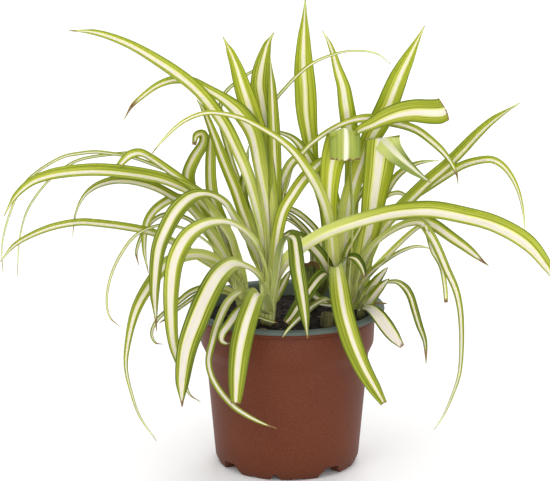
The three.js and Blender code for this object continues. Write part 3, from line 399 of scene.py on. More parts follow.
def rows_along(points, stations, count):
    """Count rows on the curve, evenly by length and by how far the curve has turned."""
    steps = np.linalg.norm(np.diff(points, axis=0), axis=1)
    run = np.concatenate([[0], np.cumsum(steps)])
    ways = unit(np.diff(points, axis=0))
    turns = np.arccos(np.clip((ways[1:] * ways[:-1]).sum(1), -1, 1))
    bend = np.concatenate([[0], np.cumsum(np.concatenate([turns, [0]]))])
    measure = run / run[-1] + BEND_PULL * bend / max(bend[-1], 1e-6)
    wanted = np.linspace(0, measure[-1], count)
    here = np.interp(wanted, measure, run)
    place = np.stack([np.interp(here, run, points[:, axis]) for axis in range(3)], axis=1)
    return place, np.interp(here, run, stations), here


# %% [markdown]
# A leaf's width is read between its points and evened out a little. Its last rows are drawn in, to
# a point where the leaf ends thin and to a rounded end where it is blunt. A leaf that was cut off
# broad keeps its width.

# %% Width along a blade
TIP_SHARES = np.array([0.9, 0.78, 0.6, 0.3])
BLUNT_SHARES = np.array([0.98, 0.95, 0.88, 0.74])
POINTED_UNDER = 2.2
CUT_FROM = 12
LEAST_WIDTH = 0.35
EVEN_OUT = np.array([1, 2, 3, 2, 1]) / 9


def blade_widths(route, station):
    widths = np.interp(station, np.arange(len(route)), [point[3] for point in route])
    widths = np.convolve(np.pad(widths, 2, mode="edge"), EVEN_OUT, mode="valid")
    last = route[-1][3]
    if last < CUT_FROM:
        widths[-4:] *= TIP_SHARES if last < POINTED_UNDER else BLUNT_SHARES
    return np.maximum(widths, LEAST_WIDTH)


# %% [markdown]
# To lay the blade, every row of the strip is set square to its curve. The upper face starts level
# across the leaf's own heading and is rolled towards the eye, by a set angle on a leaf that goes
# sideways, or by a share of the angle that would turn an upright leaf flat to the eye. One leaf is
# folded over sharply: it is laid as two strips whose ends are slanted and flattened, so that they
# meet on one crease.

# %% Directions along a blade
TO_EYE = np.array([0, -math.cos(EYE_TILT), math.sin(EYE_TILT)])
SIDE_ROLL = math.radians(50)
CREASE_WAY = np.array([0.98, 0.19 * math.sin(EYE_TILT), 0.19 * math.cos(EYE_TILT)])
CREASE_ENDS = {"leaf folded down at its middle": "last", "flap of the folded leaf": "first"}
SLANTED_WITHIN = 12
FLATTENED_WITHIN = 26


def blade_ways(places, place, station, facing):
    """Unit vectors along the blade, across it and out of its upper face, one for each row."""
    along = unit(np.gradient(place, axis=0))
    heading = places[-1] - places[0]
    heading[2] = 0
    heading = unit(heading)
    level = np.array([-heading[1], heading[0], 0])
    turn = 1 if level @ TO_EYE < 0 else -1
    side = SIDE_ROLL * abs(heading[0])
    upright = math.acos(heading[1])
    ends = [side, side] if facing is None else [share * upright for share in facing]
    roll = turn * np.interp(station / (len(places) - 1), [0, 1], ends)[:, None]
    across = unit(level - along * (along @ level)[:, None])
    across = across * np.cos(roll) + np.cross(along, across) * np.sin(roll)
    return along, across, np.cross(along, across)


def to_crease(creased_end, run, along, across):
    """How flat each row lies, and its way across once it is slanted towards the crease."""
    if not creased_end:
        return np.zeros(len(run)), across
    off_crease = run if creased_end == "first" else run[-1] - run
    slant = np.clip(1 - off_crease / SLANTED_WITHIN, 0, 1)
    slant = slant * (along @ CREASE_WAY) / (across @ CREASE_WAY)
    return np.clip(1 - off_crease / FLATTENED_WITHIN, 0, 1), across + along * slant[:, None]


# %% [markdown]
# The strip's halves stand up from the midrib, its margins are thinner than its middle and wave a
# little. Each leaf also carries the values that its finish needs, such as how dark its green is
# and how far each point is from the root and from the tip.

# %% Lay a blade along its route
BLADE_FOLD = 0.26
BLADE_THICK = 0.5
MARGIN_THINNER = 0.2
WAVE = 0.018
WAVE_LENGTH = 9
OFF_MIDDLE = {  # how far the white band sits off the midrib, in half widths
    "broad arch down the front left": -0.16, "long arch ending in a thread": -0.14,
    "high arch with a turned back": -0.14, "great arch to the right": -0.2,
    "broad arch down the front": 0.1, "broad leaf over the front rim": 0.12,
    "tall leaf to the far left": -0.12, "long level leaf": 0.12,
}


def write_values(mesh, name, values):
    attribute = mesh.attributes.new(name, "FLOAT", "POINT")
    every = np.broadcast_to(values, len(mesh.vertices)).astype(np.float32)
    attribute.data.foreach_set("value", every)


def blade_lift(wide, run, flattened):
    """How far each point stands off the line from margin to margin."""
    hand = blade_across
    phase = random.uniform(0, 6.28)
    wave = WAVE * wide * hand**2 * np.sin(run / WAVE_LENGTH + phase + 1.3 * hand)
    fold = (np.abs(hand) ** 1.35 - 0.45) * BLADE_FOLD * wide * (1 - flattened)
    thick = (BLADE_THICK - MARGIN_THINNER * np.abs(hand)) * np.minimum(1, wide / 3)
    return fold + wave + blade_side * thick / 2


def laid_blade(root, name, look, facing, route):
    creased_end = CREASE_ENDS.get(name)
    if creased_end != "first":
        route = [root] + route
    places = np.array([on_sight(*point[:3]) for point in route])
    place, station, run = rows_along(*smooth_curve(places), BLADE_ROWS + 1)
    along, across, up = blade_ways(places, place, station, facing)
    flattened, across = to_crease(creased_end, run, along, across)
    row = blade_row
    wide = blade_widths(route, station)[row]
    lift = blade_lift(wide, run[row], flattened[row])
    spots = place[row] + across[row] * (blade_across * wide / 2)[:, None] + up[row] * lift[:, None]

    mesh = blade.data.copy()
    mesh.vertices.foreach_set("co", (spots * MM).ravel())
    for value_name, value in zip(("tone", "stripe", "dry_mm"), look):
        write_values(mesh, value_name, value)
    write_values(mesh, "off_middle", OFF_MIDDLE.get(name, random.uniform(-0.06, 0.06)))
    under = blade_side > 0 if creased_end == "first" else blade_side < 0
    write_values(mesh, "under", under.astype(float))
    write_values(mesh, "root_mm", run[row])
    write_values(mesh, "tip_mm", run[-1] - run[row])
    write_values(mesh, "draw", random.random())
    leaf = bpy.data.objects.new(name.replace(" ", "_"), mesh)
    bpy.context.collection.objects.link(leaf)
    return leaf


# %% [markdown]
# The leaves of a rosette clasp each other at the foot, in a short stem of pale sheaths. Single
# sheaths would hardly be seen there. So the stem is one disc pulled up along leaning rings, with
# shallow ridges where one sheath's edge lies on the next.

# %% Stem of sheaths
STEM_SIDES = 40
STEM_FOOT_Z = 84.5
STEPS_PER_RING = 3
RIDGES_FROM_Z = 92
RIDGES_FADE_IN = 8
RIDGE_HEIGHT = 0.06


def stem_levels(peg, rings):
    """x, y, z and the two radii of each level, from the foot in the soil to the closed top."""
    peg_x, peg_y, radius = peg
    levels = [(peg_x, peg_y, STEM_FOOT_Z, radius, radius)]
    for across, up, depth, wide, deep in rings:
        x, y, z = on_sight(across, up, depth)
        levels.append((x, y, z, wide, deep))
    x, y, z, wide, deep = levels[-1]
    for rise, share in ((1.5, 0.7), (2.0, 0.3)):
        levels.append((x, y, z + rise, wide * share, deep * share))
    return levels


def sheath_stem(name, peg, rings, ridges, tone):
    levels = stem_levels(peg, rings)
    stem = disc(name, STEM_SIDES, peg[2], levels[0][:3])
    for low, high in zip(levels, levels[1:]):
        for step in range(1, STEPS_PER_RING + 1):
            now = [a + (b - a) * step / STEPS_PER_RING for a, b in zip(low, high)]
            was = [a + (b - a) * (step - 1) / STEPS_PER_RING for a, b in zip(low, high)]
            move = tuple((now[axis] - was[axis]) * MM for axis in range(3))
            bpy.ops.mesh.extrude_region_move(TRANSFORM_OT_translate={"value": move})
            bpy.ops.transform.resize(
                value=(now[3] / was[3], now[4] / was[4], 1),
                center_override=tuple(now[axis] * MM for axis in range(3)),
            )
    face_outward()
    xs, ys, heights = ([level[axis] for level in levels] for axis in range(3))
    for vertex in stem.data.vertices:
        z = vertex.co.z / MM
        axis_x = np.interp(z, heights, xs) * MM
        axis_y = np.interp(z, heights, ys) * MM
        middle = Vector([axis_x, axis_y, vertex.co.z])
        out = vertex.co - middle
        angle = math.atan2(out.y, out.x)
        share = min(1.0, max(0.0, (z - RIDGES_FROM_Z) / RIDGES_FADE_IN))
        twist = 0.12 * (z - RIDGES_FROM_Z)
        ridge = RIDGE_HEIGHT * share * math.sin(ridges * angle + twist)
        vertex.co = middle + out * (1 + ridge)
    write_values(stem.data, "tone", tone)
    smoothed(stem, 60)
    return stem


# %% [markdown]
# The rosettes follow one by one. A leaf is kept as its name, then its look: its tone from pale to
# dark, the share of its white band and the length of its dry tip. Then come the shares by which its
# root and its tip are turned to the eye, or None on a leaf that goes sideways, and its route, point
# by point: across, up, depth and width. A rosette is told where its peg stands in the soil, the
# rings that its stem leans along, how many ridges and what tone the stem has, and the point that
# all its leaves start from.

# %% Lay and join a rosette
def rosette(name, peg, rings, ridges, stem_tone, root, leaves):
    """All the leaves of a rosette in one piece, and its stem of sheaths."""
    piece = joined([laid_blade(root, *leaf) for leaf in leaves], name)
    stem = sheath_stem(name + "_stem", peg, rings, ridges, stem_tone)
    print(name, "has", len(leaves), "blades and", faces_of(piece), "faces")
    return piece, stem


# %% [markdown]
# The front rosette stands left of the middle. Its leaves are the nearest: broad ones with deep
# green margins hang over the rim, and tall ones stand behind them and arch away to both sides.

# %% Front rosette
FRONT_LEAVES = [
    ["broad arch down the front left", (0.75, 0.4, 4), None, [
     [-11.5, 98, -15, 9.5], [-14, 108, -18, 9.5], [-19, 115, -23, 8], [-25, 119, -29, 6],
     [-33, 121, -36, 10], [-42, 114, -46, 13], [-50, 100, -54, 14], [-56, 86, -60, 14],
     [-62, 69, -63, 12.5], [-65, 50, -64, 9], [-65.5, 40, -63.5, 6], [-65.5, 32, -63, 1.5]]],
    ["long arch ending in a thread", (0.7, 0.37, 8), None, [
     [-13.5, 118, -14, 9.5], [-17, 130, -17, 9.5], [-26, 141, -22, 7.5], [-37, 147, -28, 5],
     [-50, 146, -35, 8], [-61, 139, -41, 10.5], [-69, 125, -46, 11], [-72, 106, -49, 10],
     [-72, 84, -50, 8], [-70, 68, -50, 6], [-66, 56, -49, 4], [-61, 40, -48, 1.5], [-54, 35, -46, 1]]],
    ["high arch with a turned back", (0.75, 0.33, 8), None, [
     [-13, 108, -12, 9.5], [-18, 125, -10, 9.5], [-27, 140, -10, 9], [-34, 151, -14, 8.5],
     [-39, 159, -18, 7], [-49, 164.5, -24, 5], [-59, 163, -30, 8.5], [-68, 155, -35, 11],
     [-75, 143, -39, 10.5], [-80, 130, -41, 9.5], [-82.5, 104, -42, 6.5], [-82, 90, -42, 3],
     [-81.5, 79, -42, 1.2]]],
    ["blunt leaf over the rim", (0.8, 0.26, 0.6), None, [
     [-14, 99, -28, 8], [-17, 103, -42, 10], [-19.5, 101, -52, 11], [-22.5, 93, -60, 12],
     [-25.6, 84, -64, 13], [-29, 69, -66, 13], [-31, 52, -66, 11], [-32, 34, -64, 7]]],
    ["thin leaf curled under", (0.6, 0.37, 6), None, [
     [-13, 95, -16, 4], [-20, 102, -24, 4.5], [-30, 103, -36, 5], [-37, 97, -44, 5], [-42.5, 86, -50, 5],
     [-46.5, 73, -54, 4.5], [-49, 61, -56, 4], [-47.5, 52, -57, 3.8], [-42, 42, -58, 3.8],
     [-33, 32, -58, 3.6], [-25, 26.5, -58, 3.2], [-15, 21.5, -57.5, 2], [-6.4, 18.4, -57, 1.2]]],
    ["small leaf at the rim", (0.95, 0.5, 3), None, [
     [-20, 94, -30, 4.5], [-26.5, 94.5, -42, 5], [-32, 89.5, -50, 5.5], [-36.5, 83, -55, 5.5],
     [-40.5, 77.5, -58, 5], [-40.8, 73.5, -59, 3.5], [-37.5, 71.5, -58.5, 3], [-33.5, 72, -57, 1]]],
    ["leaflet on the soil", (0.6, 0.37, 2), None, [
     [-17, 87.5, -16, 3], [-19, 88, -20, 3], [-16, 87, -25, 2.5], [-12, 85.5, -27, 2.5],
     [-5.6, 84, -31, 1.2]]],
    ["tall leaf to the far left", (0.4, 0.26, 4), None, [
     [-13, 108, -13, 11], [-13.5, 125, -12, 11], [-15.5, 140, -11, 10], [-19, 155, -11, 11],
     [-25, 175, -12, 11.5], [-33, 194, -14, 11.5], [-40, 208, -16, 11], [-50, 222, -20, 11],
     [-60, 232.5, -24, 10], [-80, 247, -30, 8.5], [-100, 258.5, -35, 6.5], [-120, 265.5, -40, 4],
     [-136.5, 267, -44, 1]]],
    ["tall leaf with a bent tip", (0.4, 0.27, 13), None, [
     [-11, 112, -12, 11], [-11, 140, -8, 11], [-13, 160, -6, 12.5], [-17, 180, -4, 14],
     [-22, 203, -3, 14], [-30, 215, -4, 13], [-40, 224, -6, 8], [-50, 230, -9, 6.5], [-60, 235, -12, 6],
     [-70, 236, -15, 5.5], [-80, 233, -18, 4.5], [-90, 226, -21, 3.5], [-97, 219.5, -23, 2.5],
     [-102, 211, -24, 1]]],
    ["upright leaf leaning left", (0.3, 0.19, 1), [0.9, 0.9], [
     [-10, 116, -11, 11], [-10.5, 140, -6, 11], [-12, 165, -2, 11.5], [-15, 187, 2, 12.5],
     [-19.5, 205, 4, 12.5], [-24, 220, 5, 12], [-28, 232, 6, 10.5], [-32, 245, 7, 7.5],
     [-36, 255, 7, 4.5], [-40, 263, 7, 1]]],
    ["upright leaf with a bowed top", (0.3, 0.22, 1), [0.9, 0.9], [
     [-8.5, 118, -9, 10.5], [-8, 150, -2, 10.5], [-9.5, 180, 4, 10.5], [-13, 205, 9, 10.5],
     [-15.5, 222, 12, 11.5], [-17, 233, 14, 11.5], [-16, 243, 16, 10.5], [-14, 252, 18, 7.5],
     [-12, 259, 19, 4.5], [-8, 266, 20, 1]]],
    ["upright slender leaf", (0.6, 0.16, 1), [0.9, 0.9], [
     [-7.5, 125, -8, 6], [-7.5, 160, -3, 8], [-7.5, 185, 0, 8], [-8.3, 205, 2, 8], [-9, 220, 3, 7],
     [-9.8, 236, 4, 5], [-10.5, 250, 5, 1.2]]],
    ["thin leaf that swings to the right", (0.5, 0.3, 2), None, [
     [-10, 118, -6, 4], [-12, 150, 4, 5], [-15, 180, 12, 5], [-17, 198, 15, 5], [-16, 207, 16, 4.5],
     [-12, 216, 17, 3.5], [-6, 225, 15, 2.5], [0, 232, 12, 2.5], [10, 242, 6, 2.5], [20, 248.5, 2, 2],
     [38, 254, -4, 1.5], [56, 252.5, -10, 1], [65, 246, -12, 1]]],
    ["thin hooked leaf", (0.5, 0.3, 1), None, [
     [-12, 118, -6, 3], [-22, 150, 4, 3.5], [-36, 190, 12, 3.5], [-42, 215, 16, 3],
     [-39, 227.5, 18, 2.5], [-30, 236, 20, 2.2], [-21, 242, 21, 1.8], [-15, 245, 21, 1]]],
    ["straight leaf leaning left", (0.5, 0.22, 1), [0.75, 0.75], [
     [-14, 110, -10, 8], [-17, 125, -6, 8], [-23, 142, -4, 8], [-28, 155, -4, 8], [-32, 167, -5, 8],
     [-37, 179, -6, 7.5], [-41.5, 190, -8, 7], [-46, 202, -10, 5.5], [-52.5, 218, -13, 3],
     [-56.5, 224, -14, 1]]],
    ["short upright leaf", (0.6, 0.22, 1), [0.85, 0.85], [
     [-13, 115, -10, 9], [-19, 128, -6, 9], [-24, 141, -2, 7], [-27, 155, 0, 7], [-27.5, 168, 2, 6],
     [-26, 180, 4, 4.5], [-24, 195, 6, 1.2]]],
    ["short leaf leaning right", (0.35, 0.26, 1), [0.9, 0.9], [
     [-10, 105, -14, 6], [-8, 122, -13, 7], [-5.5, 142, -12, 7.5], [-2, 155, -11, 7.5],
     [4, 165, -9, 7.5], [9.5, 173, -6, 7.5], [15, 179, -1, 7.5], [20, 184, 5, 6.5], [26, 190, 9, 1.2]]],
    ["long thin leaf with a curled tip", (0.5, 0.31, 9), [0.6, 0.65], [
     [-8, 108, -12, 4.5], [-6.5, 130, -9, 6], [-6.5, 150, -5, 6.5], [-4, 167, -1, 6.5],
     [-1, 177, 2, 6.5], [3.5, 185, 4, 6], [8.3, 189, 5, 4], [15, 196, 4, 3.5], [26, 204, 1, 3.5],
     [33.5, 208, -2, 3.5], [42, 211, -2, 4.5], [50, 212, -3, 6], [65, 209.5, -7, 6], [75, 207, -10, 5.5],
     [82, 204, -11.5, 5.5], [90, 198, -13, 5], [97, 191.5, -15, 4.5], [102, 185, -16, 3],
     [106, 177, -17, 2], [107, 170, -17, 1]]],
    ["great arch to the right", (0.35, 0.42, 2), None, [
     [-10, 98, -14, 8.5], [-6, 113, -13, 9.5], [0, 123, -13, 9.5], [10, 131.5, -14, 9.5],
     [20, 138, -15, 9.5], [30, 142.5, -16, 9.5], [50, 149, -19, 10], [70, 153.5, -23, 11],
     [90, 154.5, -28, 11.5], [110, 151, -33, 11.5], [130, 145.5, -38, 11.5], [150, 134, -43, 11],
     [162, 120, -47, 7.5], [172, 103, -50, 1]]],
    ["broad arch down the front", (0.95, 0.22, 2), None, [
     [-9, 98, -16, 6], [-6.5, 112, -18, 6.5], [-5, 124, -22, 7], [-3, 133, -26, 7],
     [0.5, 138.5, -31, 6.5], [4, 137, -38, 8], [5.5, 128, -46, 9], [6.5, 118, -53, 9.5],
     [8.5, 106, -59, 9], [11, 90, -64, 6.5], [13, 74.6, -66, 1.5]]],
    ["young leaf at the crown", (0.5, 0.3, 1), None, [
     [-10, 95, -14, 4], [-6, 101, -13, 5], [-1.5, 110, -11, 5], [2, 117, -9, 2]]],
]
front_rosette, front_stem = rosette(
    "striped_leaves_front", (-12, -14, 4.2),
    [[-12, 97, -14, 5, 4.6], [-11.5, 108, -13.5, 4.6, 4], [-10.5, 117, -12, 3.2, 2.6]],
    9, 0.1, [-12, 90, -14, 8], FRONT_LEAVES,
)

# %% [markdown]
# The left rosette leans out over the rim. Most of its leaves run far to the left, some broad and
# level, some as thin as a thread, and end in brown, hanging tips.

# %% Left rosette
LEFT_LEAVES = [
    ["upright leaf", (0.3, 0.22, 1), [0.75, 0.75], [
     [-29, 115, 16, 7], [-38, 140, 14, 8], [-46, 160, 12, 8.5], [-48, 172, 11, 8], [-48.2, 190, 10, 7],
     [-47, 211, 10, 1.5]]],
    ["upright leaf with a curled tip", (0.6, 0.22, 2), [0.75, 0.75], [
     [-32, 110, 20, 6.5], [-38, 120, 20, 7], [-52, 150, 20, 8], [-61, 168, 18, 9], [-62, 178, 16, 9],
     [-58, 188, 16, 8.5], [-52.3, 197.5, 17, 7], [-53, 202.3, 17, 5.5], [-56.5, 201.5, 16, 4.5],
     [-58, 195.5, 15.5, 3]]],
    ["leaf bent sharply at its top", (0.55, 0.3, 5), None, [
     [-31, 115, 16, 8], [-39, 138, 12, 8], [-46, 152, 9, 8], [-53, 164, 5, 6.5], [-60, 169, 3, 6.5],
     [-68, 175, 0, 6.5], [-75, 180, -2, 6.5], [-85, 187, -5, 6], [-92, 190.3, -8, 6], [-98, 189, -10, 6],
     [-105, 182.5, -12, 4.5], [-111, 176, -14, 1.5]]],
    ["long level leaf", (0.35, 0.27, 2), None, [
     [-29, 110, 17, 9], [-32, 125, 14, 9], [-36, 138, 11, 9], [-44, 150, 7, 8.5], [-52, 159, 3, 8.5],
     [-60, 166, 0, 9], [-70, 171, -4, 9], [-80, 174.5, -7, 9], [-100, 178, -13, 9],
     [-120, 179.5, -20, 9], [-140, 178, -26, 8], [-150, 176, -29, 7], [-160, 172, -32, 5.5],
     [-170, 163, -35, 3.5], [-177, 151, -37, 1]]],
    ["leaf with a hanging tip", (0.5, 0.3, 12), [0.55, 0.14], [
     [-32, 112, 20, 9], [-39, 127, 18, 9], [-46, 138, 15, 9], [-54, 148, 11, 8], [-62, 157, 7, 8],
     [-72, 163, 3, 8], [-80, 167.5, 0, 8], [-90, 171, -3, 8], [-100, 172.8, -6, 7],
     [-110, 172.5, -9, 6.5], [-120, 169, -11, 5], [-127, 163, -13, 3], [-132, 152, -14, 2],
     [-134, 138, -14, 1.2]]],
    ["long leaf below the level one", (0.4, 0.3, 2), None, [
     [-33, 108, 20, 7.5], [-40, 116, 19, 7.5], [-46, 120, 17, 7.5], [-55, 125, 13, 5.5],
     [-62, 129.5, 9, 5.5], [-71, 134.5, 4, 5.5], [-84, 140.5, -1, 5.5], [-100, 144, -6, 5.5],
     [-120, 146.5, -12, 5.5], [-130, 147, -15, 5], [-150, 143, -20, 4.5], [-170, 133, -25, 3],
     [-179.5, 122, -27, 1]]],
    ["thread leaf arching far left", (0.6, 0.3, 8), None, [
     [-33, 125, 22, 2.5], [-48, 155, 20, 2.5], [-62, 170, 16, 2.5], [-72, 177.5, 12, 2.5],
     [-80, 181.5, 9, 2.5], [-90, 185.5, 6, 2.5], [-100, 188.5, 3, 2.5], [-110, 190, 0, 2.5],
     [-120, 191, -3, 2.5], [-130, 190, -6, 2.5], [-140, 188, -9, 2], [-157, 178, -13, 2],
     [-165, 170, -15, 1.5], [-173, 153, -17, 1.5], [-178, 133, -18, 1], [-177.5, 115, -18, 1]]],
    ["second thread leaf", (0.6, 0.3, 8), None, [
     [-36, 128, 24, 2], [-54, 160, 24, 2], [-72, 179, 20, 2], [-85, 188, 15, 2], [-93, 190.5, 12, 2],
     [-110, 189.5, 7, 2], [-130, 186, 2, 2], [-140, 180.5, 0, 2], [-150, 172, -2, 1.5],
     [-162, 155, -5, 1.5], [-167, 137, -6, 1], [-168.5, 113, -6, 1]]],
    ["thread leaf hanging at the left", (0.6, 0.3, 7), None, [
     [-34, 115, 14, 2.4], [-48, 133, 6, 2.4], [-62, 142, 1, 2.2], [-75, 145.5, -4, 2.2],
     [-83, 144.5, -7, 2], [-95, 138.5, -13, 2], [-105, 125, -17, 1.8], [-111, 110, -20, 1.6],
     [-112.5, 95, -22, 1.4], [-110, 87, -23, 1.2], [-104, 82, -24, 1]]],
    ["short arch behind", (0.5, 0.3, 5), None, [
     [-36, 125, 26, 5], [-50, 148, 28, 6], [-62, 160, 24, 6], [-70, 162, 20, 6], [-77, 159, 16, 6],
     [-84, 153, 12, 5.5], [-88, 145, 9, 5], [-89, 130, 7, 3], [-86.5, 115, 6, 1]]],
    ["thin short arch behind", (0.6, 0.3, 7), None, [
     [-40, 125, 28, 3], [-60, 148, 30, 3], [-76, 152, 24, 3], [-86, 146, 18, 3], [-91, 138, 14, 2.6],
     [-94, 128, 12, 2], [-92.5, 120, 11, 1]]],
    ["arch hanging left of the pot", (0.6, 0.31, 4), None, [
     [-28, 108, 15, 8], [-36, 118, 10, 8], [-46, 124.5, 5, 8.5], [-55, 126.5, 1, 8.5],
     [-65, 125.5, -4, 8.5], [-75, 121, -9, 8.5], [-85, 109, -14, 8], [-94, 93, -19, 6.5],
     [-99, 74, -22, 4], [-100.6, 57, -24, 2.5], [-97, 40, -25, 1.8], [-92, 26, -25, 1.4],
     [-81.5, 10.5, -24, 1]]],
    ["small hooked leaf", (0.7, 0.3, 5), None, [
     [-33, 103, 10, 4], [-42, 106.5, 2, 4], [-51, 106.5, -4, 4], [-60, 103.5, -9, 4],
     [-66, 99, -12, 3.5], [-73, 93, -15, 3], [-78.5, 89, -17, 2.6], [-83, 83, -18, 2.2],
     [-84.5, 77, -18, 2], [-82, 72, -18, 1.6], [-77, 71, -18, 1]]],
    ["small straight leaf", (0.7, 0.3, 4), None, [
     [-36, 102, 12, 3], [-46, 104, 4, 3], [-55, 102, -2, 3], [-62, 97.5, -6, 3], [-68, 93, -9, 2.6],
     [-74, 88, -11, 2], [-80, 84, -12, 1]]],
]
left_rosette, left_stem = rosette(
    "striped_leaves_left", (-27, 18, 4.4),
    [[-27, 95, 18, 4.4, 4.4], [-28.5, 104, 18, 5, 5], [-31, 113, 18, 4.4, 4],
     [-33.5, 120, 18, 3, 2.6]],
    9, 0.2, [-27.2, 97, 18, 7], LEFT_LEAVES,
)

# %% [markdown]
# The right rosette is the fullest. It has the tallest, flattest leaves, and a few that were cut
# across or have folded over, so that their greyish under face shows.

